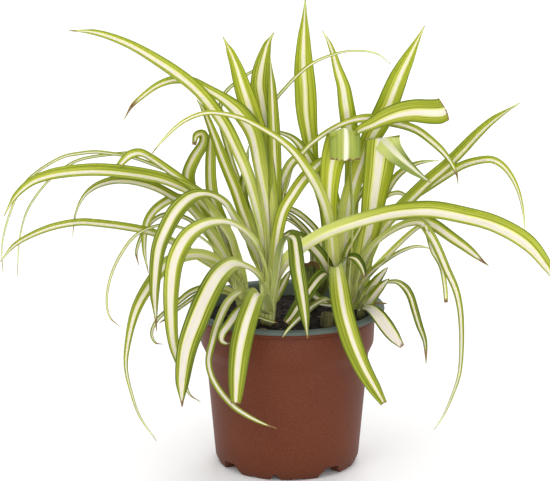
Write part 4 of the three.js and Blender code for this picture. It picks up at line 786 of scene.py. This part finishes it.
# %% Right rosette
RIGHT_LEAVES = [
    ["leaf crossing to the far left", (0.4, 0.33, 7), [0.55, 0.55], [
     [28, 110, 8, 9], [27.5, 125, 6, 9], [27, 140, 2, 9], [24, 155, -5, 9], [19, 168, -12, 8.5],
     [12, 180, -18, 8], [4, 191, -22, 6.5], [-5, 199, -25, 5], [-12, 203.5, -27, 4],
     [-20, 208, -28, 3.6], [-30, 212.5, -30, 3.2], [-50, 215.5, -33, 3], [-65, 210, -36, 2.4],
     [-78, 198, -38, 1.6], [-86, 188, -39, 1]]],
    ["leaf bowed to the left", (0.35, 0.26, 1), [0.65, 0.65], [
     [30, 110, 12, 7], [27, 128, 12, 9], [25, 145, 12, 9.5], [23, 160, 12, 9.5], [20, 173, 12, 9],
     [15, 184, 12, 8], [9, 194, 13, 6], [3, 200, 15, 4], [-4, 203, 17, 2.5], [-10, 204, 18, 1]]],
    ["thin leaf hooked to the left", (0.4, 0.3, 7), [0.65, 0.65], [
     [29, 112, 14, 4], [25, 140, 16, 4], [20, 162, 17, 4], [14, 178, 17, 4], [8, 186, 16, 3.6],
     [3.5, 182, 15, 3], [0.5, 171, 14, 2.2], [-3, 159, 14, 1]]],
    ["tallest leaf", (0.2, 0.19, 1), [1, 1], [
     [31, 108, 16, 4], [29, 125, 18, 4.5], [26, 145, 19, 4.5], [22, 162, 20, 5], [18, 178, 20, 6],
     [15.5, 190, 20, 8], [14.3, 200, 20, 10], [12.9, 210, 20, 12], [12, 220, 20, 13.5],
     [11.5, 230, 20, 13.5], [10.5, 245, 20, 12], [10.5, 262, 20, 8], [11.5, 287, 20, 1.2]]],
    ["leaf cut across, folded over", (0.2, 0.16, 0.35), [1, 1], [
     [31, 108, 6, 7], [29, 125, 4, 8], [27, 145, 2, 9], [26.3, 160, 1, 10], [27, 175, 0, 12],
     [28.5, 186, -1, 14.5], [31.5, 196, -3, 17], [34.5, 203, -6, 18], [36, 203.5, -9, 18.5],
     [36.5, 197, -11, 18.5], [36.5, 186, -12, 18.5]]],
    ["upright leaf bowed to the left", (0.35, 0.31, 1), [0.9, 0.9], [
     [37, 105, 16, 8], [38, 125, 15, 9.5], [39, 145, 14, 9.5], [40, 165, 13, 9.5], [40.5, 185, 12, 9.5],
     [39.5, 200, 11, 10.5], [38, 212, 10, 10.5], [36.5, 222, 9, 10], [35, 232, 8, 8.5],
     [31.5, 243, 7, 6], [29, 252, 6, 4], [26, 260, 5, 2.5], [22, 267, 5, 1]]],
    ["tall leaf leaning right", (0.3, 0.21, 1), [0.85, 0.85], [
     [36, 100, 12, 9], [36, 120, 10, 10.5], [36.5, 140, 9, 10.5], [38, 157, 8, 10.5], [42, 172, 7, 10.5],
     [46.5, 185, 6, 10.5], [51, 197, 5, 11], [57, 208, 4, 13.5], [62.5, 219, 3, 13.5],
     [66.5, 229, 2, 13], [71, 240, 1, 11], [76, 250, 0, 8], [81, 260, -1, 4.5], [86, 270, -2, 1]]],
    ["leaf cut across, bent level", (0.45, 0.27, 0.1), [0.25, 0.62], [
     [38, 105, 4, 4], [40, 125, 2, 4], [41, 145, 1, 4], [40.5, 165, 0, 4], [39.5, 180, -1, 4],
     [39.5, 192, -2, 4.5], [40.5, 200, -3, 5], [45, 204.5, -8, 6], [53, 208, -14, 9],
     [60, 211.5, -18, 11], [70, 215, -20, 13], [80, 216.5, -22, 14], [90, 216, -24, 15],
     [96.5, 216.3, -25, 15.5], [99, 217.6, -25.5, 15.5]]],
    ["leaf folded down at its middle", (0.25, 0.28, -1), [0.8, 1], [
     [44, 100, 10, 12.5], [47, 118, 8, 12.5], [50, 135, 6, 12], [53, 150, 4, 13.5], [55, 165, 2, 15.5],
     [57, 178, 0, 18], [58.6, 190, -2.6, 20], [59.8, 200, -5, 20.5]]],
    ["flap of the folded leaf", (0.7, 0.28, 1), [1, 1], [
     [59.8, 200, -6.2, 20.5], [64.2, 195, -9.5, 18], [71.5, 187.2, -13, 12], [80.5, 179.2, -15, 6.5],
     [89.4, 172.3, -16, 1.2]]],
    ["short leaf cut across", (0.3, 0.26, 1), [0.8, 0.8], [
     [36, 112, 14, 4], [34.5, 130, 14, 4.5], [33.5, 148, 14, 4.5], [31, 160, 14, 4.5],
     [28.5, 172, 14, 4], [27, 180, 14, 3]]],
    ["short leaf inside", (0.35, 0.26, 1), [0.8, 0.8], [
     [38, 110, 14, 4], [38.5, 140, 14, 4], [41, 155, 13, 4], [44, 162, 12, 4], [50, 170.5, 11, 3.4],
     [56, 177, 10, 1.5]]],
    ["short leaf in front", (0.6, 0.22, 1), [0.8, 0.8], [
     [36, 112, 4, 4], [37, 127, 2, 4], [42, 137, 1, 4], [47, 146, 0, 3], [48.5, 149, 0, 1.5]]],
    ["leaf behind the folded one", (0.5, 0.26, 1), None, [
     [46, 125, 16, 5], [55, 150, 14, 6], [61, 163, 12, 6], [68, 174.5, 8, 5.5], [74, 180, 5, 4.5],
     [82, 184, 3, 3], [95, 186, 1, 1]]],
    ["small pale arch", (0.3, 0.37, 1), None, [
     [48, 125, 18, 3], [58, 150, 16, 3], [61, 162, 15, 3], [66, 165, 14, 3], [70, 165.5, 13, 3],
     [74, 163.5, 12, 2.6], [77, 158, 12, 1.5]]],
    ["long leaf rising to the right", (0.35, 0.21, 1), None, [
     [41, 98, 8, 11.5], [46, 115, 6, 11.5], [52, 129, 4, 9.5], [58, 140, 2, 9.5], [66, 150, 0, 9.5],
     [80, 164, -4, 10], [90, 173.5, -6, 10], [100, 182, -8, 9.5], [110, 192, -10, 9],
     [120, 202.5, -12, 7.5], [130, 211.5, -14, 5.5], [146, 222, -17, 1]]],
    ["long arch to the right", (0.4, 0.31, 1), None, [
     [42, 98, 12, 8], [48, 115, 14, 8], [55, 132, 14, 6], [63, 148, 12, 6], [71, 157, 10, 6],
     [80, 163.5, 8, 6], [90, 170, 6, 6], [100, 176.5, 4, 6], [110, 182.5, 2, 6], [120, 185.5, 0, 5.5],
     [128, 186, -2, 5], [134, 183, -4, 4.5], [140, 176, -5, 3.5], [145, 165, -6, 2.5],
     [148, 150, -7, 1.6], [148.5, 140, -8, 1]]],
    ["arch sloping down to the right", (0.6, 0.37, 7), None, [
     [40, 98, 14, 9], [46, 118, 16, 9], [53, 135, 14, 8], [60, 146, 10, 8], [68, 151, 5, 8],
     [76, 151.5, 0, 8], [83, 149, -4, 8], [92, 145, -8, 8], [102, 138, -12, 7.5], [112, 131, -15, 6],
     [120, 124.5, -17, 4], [126, 120, -18, 1.2]]],
    ["arch hanging right of the pot", (0.5, 0.37, 2), None, [
     [41, 98, 6, 5], [44, 112, 3, 6], [47, 122, 0, 6], [53, 131, -4, 6], [60.5, 138, -8, 6],
     [69, 143.5, -12, 6], [77, 146.5, -15, 6], [84, 146.5, -17, 6], [89, 140, -19, 6],
     [93.5, 132, -20, 5.5], [100, 117, -22, 5], [105, 106, -23, 4.5], [108, 93, -23, 4],
     [109, 70, -23, 3], [107.5, 52, -23, 2.4], [104, 41, -22, 2], [98, 27, -21, 1.4],
     [92, 17.5, -20, 1]]],
    ["strip torn from the hanging arch", (0.4, 0.37, 2), None, [
     [86, 145, -17.5, 3], [88, 139, -18.5, 3], [91, 129, -20, 3], [96, 120, -21, 3], [98.5, 108, -22, 3],
     [99.3, 97, -22, 3]]],
    ["thin leaf under the arches", (0.5, 0.37, 1), None, [
     [41, 98, 6, 4], [45, 106, 3, 4], [52, 115, 0, 4], [62.5, 123.5, -4, 3.6], [74, 130, -8, 3],
     [82, 132, -10, 2], [90, 130.6, -12, 1]]],
    ["broad leaf over the front rim", (0.7, 0.18, 0.6), None, [
     [32, 106, 4, 6], [30, 114, -3, 6], [30, 119, -12, 6.5], [31, 119, -22, 7.5], [31.6, 114, -32, 10],
     [33, 103, -44, 12.5], [35, 91, -54, 12.5], [38, 80, -60, 12.5], [41, 71, -63, 12],
     [48, 55, -65, 10], [55, 43, -65, 8], [60.5, 34, -64, 5]]],
    ["blunt leaf over the soil", (1, 0.22, 0.6), None, [
     [32, 98, 6, 6], [29.5, 105, 0, 7], [27, 112, -8, 8], [24.5, 115.5, -16, 8], [20, 112.5, -23, 8],
     [15, 106, -29, 8], [11, 100, -33, 8], [6.5, 94, -37, 7.5], [2.5, 88, -40, 6.5],
     [-0.8, 84.5, -42, 5]]],
    ["thin leaf over the soil", (1, 0.3, 1), None, [
     [30, 97, 4, 4], [25, 99, -8, 4], [18, 96, -24, 4], [12, 91, -38, 4], [8, 87.5, -49, 3.6],
     [4, 83.6, -57, 3], [0, 79.2, -63, 2], [-3, 75, -65.5, 1.2]]],
    ["short dark leaf", (1, 0.2, 1), None, [
     [35, 108, 0, 6], [34.2, 116, -3, 6], [35, 122, -6, 6], [38.5, 125.5, -9, 6], [43, 124.5, -11, 6],
     [46.8, 119.5, -12, 5], [48.8, 113, -13, 2.5]]],
    ["leaf arching left over the soil", (1, 0.3, 1), [0.72, 0.5], [
     [30.5, 98, 13, 7], [29, 106, 9, 8], [27, 113, 5, 9], [24.5, 119.5, 2, 9], [20.5, 126, 0, 9],
     [15, 132, -1, 8.5], [9, 137, -3, 7], [2.5, 139.8, -3, 5.5], [-3, 138, -3, 2.5]]],
    ["low leaf to the left", (0.8, 0.5, 2), None, [
     [30, 96, 4, 3.5], [27, 95, -6, 3.5], [20, 96, -10, 3], [14, 97, -12, 1.5]]],
]
right_rosette, right_stem = rosette(
    "striped_leaves_right", (35, 12, 6),
    [[35, 93, 12, 6, 6], [35, 103, 12, 7.5, 7], [34.5, 113, 11.5, 7, 6], [34.5, 122, 11, 5, 4]],
    11, 0.2, [35, 97, 12, 9], RIGHT_LEAVES,
)

# %% [markdown]
# A small offset grows at the right rim, with short dark leaves and one dry, thin one.

# %% Small rosette
SMALL_LEAVES = [
    ["leaf hooked over the rim", (0.9, 0.22, 9), None, [
     [48, 99, -3, 2], [52, 105, -6, 2], [60, 109, -11, 2.2], [66, 110, -15, 3], [69.5, 109.5, -17, 3.4],
     [74, 106, -19, 5], [77, 101, -20, 5], [79.5, 93, -21, 5], [82.5, 83, -21, 4.6], [86, 73, -21, 3],
     [87, 58.6, -21, 1]]],
    ["low leaf over the rim", (1, 0.68, 1), None, [
     [46.5, 92.5, -6, 4], [49, 93.8, -16, 5], [53, 92.5, -26, 7], [57.5, 88, -34, 9], [62, 82, -38, 9.5],
     [66.5, 76, -40, 8], [72, 69.5, -41, 3.5]]],
    ["short green leaf", (0.9, 0.42, 1), [0.7, 0.7], [
     [48, 97, -3, 6.5], [52, 104.5, -6, 7.5], [57, 111.5, -9, 6], [63, 119, -11, 1.5]]],
    ["short green leaf beside it", (0.9, 0.42, 1), [0.7, 0.7], [
     [50, 96, -7, 6.5], [54.5, 101.5, -11, 7], [59, 107, -14, 5.5], [64, 112, -16, 1.5]]],
    ["dry twig leaf", (1, 0.1, 400), None, [
     [49, 94.5, -4, 1.6], [54, 96.3, -8, 1.4], [58, 96.7, -10, 1.3], [62.5, 96.2, -12, 1.2]]],
]
small_rosette, small_stem = rosette(
    "striped_leaves_small", (46, -1, 2.4),
    [[46, 89.5, -1, 2.4, 2.4], [47, 96, -2, 2.6, 2.4], [49, 100, -3.5, 1.6, 1.4]],
    5, 0.8, [46.4, 94, -1.6, 2.4], SMALL_LEAVES,
)

# %% [markdown]
# Behind them stands an old rosette, whose leaves were cut short long ago. Three thin shoots bow
# over from it to the left.

# %% Old rosette
OLD_LEAVES = [
    ["long thin leaf bowed left", (0.75, 0.37, 1), [0.7, 0.7], [
     [19, 118, 26, 4], [21, 135, 25, 4], [19, 141, 24, 4], [13, 148, 22, 4], [5, 154, 20, 4],
     [-2, 156.5, 18, 3], [-8, 156, 17, 1.2]]],
    ["thin leaf bowed left", (0.75, 0.37, 1), [0.7, 0.7], [
     [17, 118, 27, 4], [16.5, 132, 27, 4], [14, 139, 26, 4], [8, 146, 25, 3.8], [1, 152, 24, 2.8],
     [-5, 154.5, 23, 1.2]]],
    ["thinner leaf bowed left", (0.75, 0.37, 1), [0.7, 0.7], [
     [15.5, 118, 28, 3], [15, 131, 28, 3], [12, 139, 28, 3], [6, 145.5, 27, 2.6], [-1, 149.5, 26, 2],
     [-6, 151, 25, 1.2]]],
    ["cropped leaf on the left", (1.35, 0.1, 3), [0.8, 0.8], [
     [14, 104, 26, 8], [11.5, 113, 26, 9], [10.5, 121.5, 26, 7.5]]],
    ["cropped leaf in the middle", (1.35, 0.1, 3), [0.8, 0.8], [
     [16, 104, 25, 9], [17, 113, 24, 10], [17, 122.5, 24, 8]]],
    ["cropped leaf on the right", (1.35, 0.1, 3), [0.8, 0.8], [
     [18, 102, 25, 8], [22.5, 109, 24, 9], [25, 116, 24, 7.5]]],
    ["dried low leaf", (1.2, 0.3, 2), None, [
     [16, 101.5, 16, 6], [21, 98.5, 10, 6], [26.5, 96, 2, 4]]],
]
old_rosette, old_stem = rosette(
    "striped_leaves_old", (15, 26, 4.2),
    [[15, 97, 26, 4.2, 4.2], [15, 104, 26, 4.8, 4], [15.5, 112, 26, 4.2, 3],
     [16, 119, 26, 3, 2.2]],
    7, 1.0, [15, 100, 26, 8], OLD_LEAVES,
)
bpy.data.objects.remove(blade)

# %% [markdown]
# Beside the front rosette stands the dry stub of an old flower stalk. It is pulled up like the pot,
# narrow and a little ragged, and its top is sunk where the pith has gone.

# %% Dead stub
STUB_SIDES = 28
STUB_X, STUB_Y = 24.5, -18
STUB_PROFILE = [
    [4.2, 84.5], [4.3, 90], [4.1, 93], [3.9, 96], [3.8, 98.4], [3.5, 99.3], [3.0, 99.4],
    [2.2, 98.6], [1.2, 98.0],
]
stub = pulled_rings("dry_stub", STUB_PROFILE, STUB_SIDES)
for vertex in stub.data.vertices:
    x, y, z = vertex.co
    grain = 1 + 0.06 * math.sin(7 * math.atan2(y, x)) + 0.05 * noise.noise(vertex.co / MM * 0.6)
    vertex.co = Vector((x * grain + STUB_X * MM, y * grain + STUB_Y * MM, z))
smoothed(stub, 50)
print("stub faces", faces_of(stub))

# %% [markdown]
# Materials are written as sums. A small class wraps a socket, so that `1 - mask` or `a * b` adds
# the Math node it stands for, and one method adds any other node. Colours are mixed, never summed,
# and are written as they look on screen.

# %% A socket that can be reckoned with
def linear(hex_colour):
    """A colour as seen on screen, as the numbers a shader works with."""
    channels = [int(hex_colour[i:i + 2], 16) / 255 for i in (1, 3, 5)]
    lit = [c / 12.92 if c <= 0.04045 else ((c + 0.055) / 1.055) ** 2.4 for c in channels]
    return (*lit, 1.0)


class Wire:
    def __init__(self, tree, socket):
        self.tree = tree
        self.socket = socket

    def node(self, kind, settings=None, inputs=None, output=0):
        made = self.tree.nodes.new(kind)
        for key, value in (settings or {}).items():
            if key == "stops":
                ramp = made.color_ramp.elements
                while len(ramp) < len(value):
                    ramp.new(0.5)
                for stop, (place, colour) in zip(ramp, value):
                    stop.position = place
                    stop.color = linear(colour)
            else:
                setattr(made, key, value)
        for key, value in (inputs or {}).items():
            if isinstance(value, Wire):
                self.tree.links.new(value.socket, made.inputs[key])
            else:
                made.inputs[key].default_value = linear(value) if isinstance(value, str) else value
        return Wire(self.tree, made.outputs[output])

    def math(self, operation, *values):
        return self.node("ShaderNodeMath", {"operation": operation}, dict(enumerate(values)))

    def __add__(self, other):
        return self.math("ADD", self, other)

    def __sub__(self, other):
        return self.math("SUBTRACT", self, other)

    def __mul__(self, other):
        return self.math("MULTIPLY", self, other)

    def __truediv__(self, other):
        return self.math("DIVIDE", self, other)

    def __rsub__(self, other):
        return self.math("SUBTRACT", other, self)

    __radd__ = __add__
    __rmul__ = __mul__

    def smooth(self, low, high):
        """0 below low, 1 above high, and a soft step between."""
        return self.node(
            "ShaderNodeMapRange", {"interpolation_type": "SMOOTHSTEP"},
            {"Value": self, "From Min": low, "From Max": high, "To Min": 0.0, "To Max": 1.0},
        )

    def mix(self, first, second):
        """Two colours mixed by this mask."""
        return self.node(
            "ShaderNodeMix", {"data_type": "RGBA"}, {0: self, 6: first, 7: second}, output=2
        )

    def axis(self, number):
        """One number of a place."""
        return self.node("ShaderNodeSeparateXYZ", {}, {0: self}, output=number)

    def drawn_out(self, scale):
        """A place scaled unevenly, which draws out what a noise makes there."""
        return self.node("ShaderNodeMapping", {}, {"Vector": self, "Scale": scale})

    def noise(self, scale, detail):
        """A noise at this place."""
        inputs = {"Vector": self, "Scale": scale, "Detail": detail}
        return self.node("ShaderNodeTexNoise", {}, inputs)

    def attribute(self, name):
        return self.node("ShaderNodeAttribute", {"attribute_name": name}, {}, output=2)

    def object_place(self):
        return self.node("ShaderNodeTexCoord", {}, {}, output=3)


def new_finish(name, **constants):
    """A material, its shader with constants set on it, and a wire to start nodes from."""
    material = bpy.data.materials.new(name)
    material.use_nodes = True
    tree = material.node_tree
    shader = tree.nodes["Principled BSDF"]
    for key, value in constants.items():
        shader.inputs[key.replace("_", " ")].default_value = value
    return material, shader, Wire(tree, None)


def plug(wire, shader, socket):
    wire.tree.links.new(wire.socket, shader.inputs[socket])


def plug_bump(height, shader, distance, strength):
    inputs = {"Height": height, "Distance": distance, "Strength": strength}
    plug(height.node("ShaderNodeBump", {}, inputs), shader, "Normal")


# %% [markdown]
# A spider plant's leaf is striped along its length: green margins, a white band down the middle,
# and between them thin lines of yellow and green. The strip's UV map runs along and across the
# blade, so its second number gives the distance from the midrib. Each leaf carries its own values
# for how dark its green is, how wide its white band is and how much of its tip has dried. Three
# noises are drawn out along the blade: broad lines, fine veins and a slow drift. They also move the
# edge of the white band, so that no two leaves are striped alike.

# %% Striped leaf: values and noises
LIVING = {  # light goes half a millimetre into a leaf and comes out green
    "Subsurface_Radius": (0.0005, 0.0006, 0.0001), "Subsurface_Scale": 1.0,
    "Specular_IOR_Level": 0.22,
}
leaf_finish, leaf_shader, start = new_finish(
    "striped leaf", Roughness=0.42, Subsurface_Weight=0.7, **LIVING
)
side_uv = start.node("ShaderNodeUVMap", {"uv_map": "UVMap"}).axis(1)
draw = start.attribute("draw")
tone = start.attribute("tone") + (draw - 0.5) * 0.25
root_mm = start.attribute("root_mm")
tip_mm = start.attribute("tip_mm")
dry_mm = start.attribute("dry_mm")


def blade_noise(lengthways, crossways, apart, detail):
    place = {0: root_mm * lengthways, 1: side_uv * crossways, 2: draw * apart}
    return start.node("ShaderNodeCombineXYZ", {}, place).noise(1.0, detail)


lines = blade_noise(0.012, 15, 40, 2.0)
fine = blade_noise(0.02, 44, 90, 2.0)
slow = blade_noise(0.03, 3, 70, 1.0)
from_midrib = start.math("ABSOLUTE", side_uv * 2 - 1)
from_band = start.math("ABSOLUTE", side_uv * 2 - 1 - start.attribute("off_middle"))
off_band = from_band + (lines - 0.5) * 0.16 + (slow - 0.5) * 0.22 - start.attribute("stripe")
print("values and noises make", len(leaf_finish.node_tree.nodes), "nodes")

# %% [markdown]
# The colour is then laid over itself, from the margin inwards: greens by the leaf's tone, light and
# deep lines in them, the yellow line beside the band, and the band. The under face is duller, the
# foot is paler, an old leaf is browned, and the tip is dry as far as the leaf's own value says. The
# pale foot is partly the leaf's own colour and partly painted light: it is made brighter to stand in
# for the light that passes through the crowded crown.

# %% Striped leaf: colours
margin_green = tone.mix("#aeb624", "#516406")
light_line = tone.mix("#d8d662", "#a8b038")
deep_green = tone.mix("#7a8c0c", "#2a3e02")
line_yellow = tone.mix("#dedd80", "#d0cf78")
band_white = tone.mix("#e8e3d2", "#dad2c8")
edge_green = tone.mix("#66760a", "#22320a")

near_band = 1 - off_band.smooth(0.02, 0.5)
in_white = 1 - off_band.smooth(-0.09, 0.03)
yellow_line = 1 - off_band.smooth(0.05, 0.1)
green_line = off_band.smooth(0.09, 0.12) * (1 - off_band.smooth(0.15, 0.2))
veins = fine.smooth(0.48, 0.66)
colour = ((1 - lines.smooth(0.3, 0.48)) * 0.7).mix(margin_green, deep_green)
colour = (lines.smooth(0.48, 0.62) * (near_band * 0.6 + 0.4)).mix(colour, light_line)
colour = (near_band * (0.5 - tone * 0.35)).mix(colour, light_line)
colour = (green_line * (0.25 + draw * 0.6)).mix(colour, deep_green)
colour = (yellow_line * 0.9).mix(colour, line_yellow)
colour = in_white.mix(colour, band_white)
colour = (from_midrib.smooth(0.84, 0.95) * (0.45 + slow * 0.6)).mix(colour, edge_green)
colour = (veins * (1 - in_white * 0.6) * 0.3).mix(colour, deep_green)
under_colour = in_white.mix("#8a9a5a", "#dcdec6")
colour = (start.attribute("under") * 0.55).mix(colour, under_colour)

share_along = root_mm / (root_mm + tip_mm)
# Painted light: the pale foot is the leaf's own paler base, made brighter still to stand in for light
# that passes through the crowded crown.
pale_foot_and_painted_light = (1 - share_along.smooth(0.12, 0.52)) * (1 - tone * 0.4) * (1 - in_white * 0.75)
foot_cream_and_painted_light = (veins * 0.6).mix("#e8ea9a", "#b8c450")
colour = (pale_foot_and_painted_light * 0.9).mix(colour, foot_cream_and_painted_light)
past_green = (tone - 1.0).smooth(0.1, 0.4)
aged = (lines + fine * 0.6).smooth(0.55, 0.95).mix("#2a2c14", "#7d7c4a")
colour = (past_green * 0.85).mix(colour, aged)
frayed = tip_mm + (lines - 0.5) * 5
dried = 1 - frayed.smooth(dry_mm * 0.75, dry_mm * 1.25 + 0.6)
colour = dried.mix(colour, lines.mix("#5a3c28", "#9a7c50"))

plug(colour, leaf_shader, "Base Color")
plug(0.42 + dried * 0.4 + (fine - 0.5) * 0.15, leaf_shader, "Roughness")
ribs = start.math("SINE", side_uv * 120) * 0.35 + fine
plug_bump(ribs, leaf_shader, 0.00018, 0.35)
print("striped leaf has", len(leaf_finish.node_tree.nodes), "nodes")

# %% [markdown]
# The sheaths of a stem are paler than the blades and ribbed along their length. A stem has no
# stripes to follow, so its colour comes from a noise in space that is drawn out upwards, and it
# darkens where it stands in the soil.

# %% Sheaths
sheath_finish, shader, start = new_finish(
    "pale sheaths", Roughness=0.5, Subsurface_Weight=0.4, **LIVING
)
place = start.object_place()
ribs = place.drawn_out((800, 800, 25)).noise(1.0, 2.0)
sheath_tone = start.attribute("tone")
pale = sheath_tone.mix("#e6e89c", "#6d7440")
dark = sheath_tone.mix("#b4be62", "#2f3416")
colour = (1 - ribs.smooth(0.4, 0.56)).mix(pale, dark)
soiled = 1 - place.axis(2).smooth(0.0915, 0.0955)
plug((soiled * 0.8).mix(colour, "#3a2f22"), shader, "Base Color")
plug_bump(ribs, shader, 0.0003, 0.5)
print("sheaths have", len(sheath_finish.node_tree.nodes), "nodes")

# %% [markdown]
# The pot is recycled brown plastic with a satin skin: its brown is a little cloudy, with a paler
# grain and dark specks. Its lip and its inside have a greyish bloom from water and lime, and each
# point of the pot is told which side it is on.

# %% Brown pot plastic
WALL_MIDDLE = ([7, 69.8, 77.4, 97, 99.5], [44.0, 49.8, 52.9, 53.7, 56.5])  # heights, radii
FLOOR_TOP_Z = 6.9
LIP_Z = 96.7


def on_inside(point):
    x, y, z = point / MM
    return z > LIP_Z or (z > FLOOR_TOP_Z and math.hypot(x, y) < np.interp(z, *WALL_MIDDLE))


inside = [float(on_inside(vertex.co)) for vertex in pot.data.vertices]
write_values(pot.data, "inside", np.array(inside))
pot_finish, shader, start = new_finish(
    "brown pot plastic", Roughness=0.5, Specular_IOR_Level=0.2
)
place = start.object_place()
cloud = place.noise(28.0, 4.0)
grain = place.noise(900.0, 3.0)
specks = place.noise(1300.0, 2.0)
# The pot's brown is darker in its lowest twenty millimetres.
darker_towards_foot = 1 - place.axis(2).smooth(0.0, 0.02)
dusty = start.attribute("inside")
body = cloud.mix("#562614", "#643019")
body = (grain.smooth(0.35, 0.75) * 0.35).mix(body, "#744029")
body = (specks.smooth(0.6, 0.7) * 0.45).mix(body, "#3a1a0e")
body = (darker_towards_foot * 0.35).mix(body, "#4b2a1a")
bloom = cloud.mix("#465049", "#626c66")
plug(dusty.mix(body, bloom), shader, "Base Color")
plug(0.42 + grain * 0.2 + dusty * 0.2, shader, "Roughness")
plug_bump(grain + cloud, shader, 0.00012, 0.4)
print("points on the pot's inside and lip", int(sum(inside)), "of", len(inside))

# %% [markdown]
# Wet peat is nearly black. Dry crumbs on top are browner, and a few grains are pale. The soil gets
# its spots from two noises, and each crumb takes its own colour from a ramp, by its drawn tint.

# %% Peat
peat_finish, shader, start = new_finish("peat", Roughness=0.95, Specular_IOR_Level=0.15)
place = start.object_place()
lumps = place.noise(260.0, 5.0)
specks = place.noise(1500.0, 3.0)
peat = lumps.smooth(0.35, 0.7).mix("#14100d", "#2c231d")
plug((specks.smooth(0.66, 0.76) * 0.5).mix(peat, "#5a4a3c"), shader, "Base Color")
plug_bump(lumps + specks * 0.4, shader, 0.0008, 0.8)

bits_finish, shader, start = new_finish(
    "peat crumbs and bark", Roughness=0.9, Specular_IOR_Level=0.2
)
rough = start.object_place().noise(700.0, 4.0)
tints = [(0.0, "#100c09"), (0.6, "#241b15"), (0.88, "#443424"), (1.0, "#8a7c66")]
bits = start.node("ShaderNodeValToRGB", {"stops": tints}, {0: start.attribute("tint")})
plug((rough * 0.5).mix(bits, "#2a1f18"), shader, "Base Color")
plug_bump(rough, shader, 0.0004, 0.7)
print("peat and crumbs:", peat_finish.name, "and", bits_finish.name)

# %% [markdown]
# The dry stub is straw-brown, with dark lines of fibre running up it: once more a noise that is
# drawn out upwards.

# %% Dry stalk
stalk_finish, shader, start = new_finish("dry stalk", Roughness=0.85)
fibre = start.object_place().drawn_out((900, 900, 60)).noise(1.0, 4.0)
plug(fibre.smooth(0.3, 0.7).mix("#262412", "#7c7646"), shader, "Base Color")
plug_bump(fibre, shader, 0.0005, 0.6)
print("dry stalk has", len(stalk_finish.node_tree.nodes), "nodes")

# %% [markdown]
# Each piece gets its finish and rides on the one body of the model. The table also names the
# solid it stands for, which is hidden, and the slot of the record its finish belongs to, which
# the loop leaves unused.

# %% Finishes and places
pieces = [
    (pot, pot_finish, "pot", "pot_plastic"),
    (soil, peat_finish, "soil", "potting_soil"),
    (soil_bits, bits_finish, None, "potting_soil"),
    (front_rosette, leaf_finish, "front_rosette", "front_leaves"),
    (front_stem, sheath_finish, None, "front_leaves"),
    (left_rosette, leaf_finish, "left_rosette", "left_leaves"),
    (left_stem, sheath_finish, None, "left_leaves"),
    (right_rosette, leaf_finish, "right_rosette", "right_leaves"),
    (right_stem, sheath_finish, None, "right_leaves"),
    (small_rosette, leaf_finish, "small_rosette", "small_leaves"),
    (small_stem, sheath_finish, None, "small_leaves"),
    (old_rosette, leaf_finish, "old_rosette", "old_leaves"),
    (old_stem, sheath_finish, None, "old_leaves"),
    (stub, stalk_finish, "dead_stub", "dead_stem"),
]
for piece, finish, node, slot in pieces:
    piece.data.materials.clear()
    piece.data.materials.append(finish)
    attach(piece, "root")
    if node:
        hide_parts(node)
print(len(pieces), "pieces placed")

# %% [markdown]
# The plant stands on a pale floor before a white background, which lights it from all sides. Three
# large soft lamps give it form, as in a small studio: one from the front left and above, a stronger
# and lower one in front, and one behind it that shines through the leaves.

# %% Floor and light
FLOOR_SIZE = 6
LAMP_SIZE = 0.9
bpy.ops.object.select_all(action="DESELECT")
bpy.ops.mesh.primitive_plane_add(size=FLOOR_SIZE, location=(0, 0, -0.0002))
floor = bpy.context.object
floor.name = "studio_floor"
floor_finish, shader, start = new_finish(
    "pale floor", Roughness=0.9, Base_Color=(0.9, 0.9, 0.9, 1)
)
floor.data.materials.append(floor_finish)

world = bpy.data.worlds.new("studio")
world.use_nodes = True
world.node_tree.nodes["Background"].inputs["Color"].default_value = (1, 1, 1, 1)
world.node_tree.nodes["Background"].inputs["Strength"].default_value = 0.95
bpy.context.scene.world = world


def soft_lamp(name, place, aim_height, power):
    bpy.ops.object.light_add(type="AREA", location=place)
    lamp = bpy.context.object
    lamp.name = name
    lamp.data.size = LAMP_SIZE
    lamp.data.energy = power
    way = Vector((0, 0, aim_height)) - Vector(place)
    lamp.rotation_euler = way.to_track_quat("-Z", "Y").to_euler()


soft_lamp("key", (-0.9, -1.3, 1.3), 0.14, 6)
soft_lamp("fill", (0.3, -1.7, 0.5), 0.14, 9.5)
soft_lamp("back", (0.3, 1.2, 1.2), 0.18, 9)
bpy.context.scene.view_settings.view_transform = "Standard"
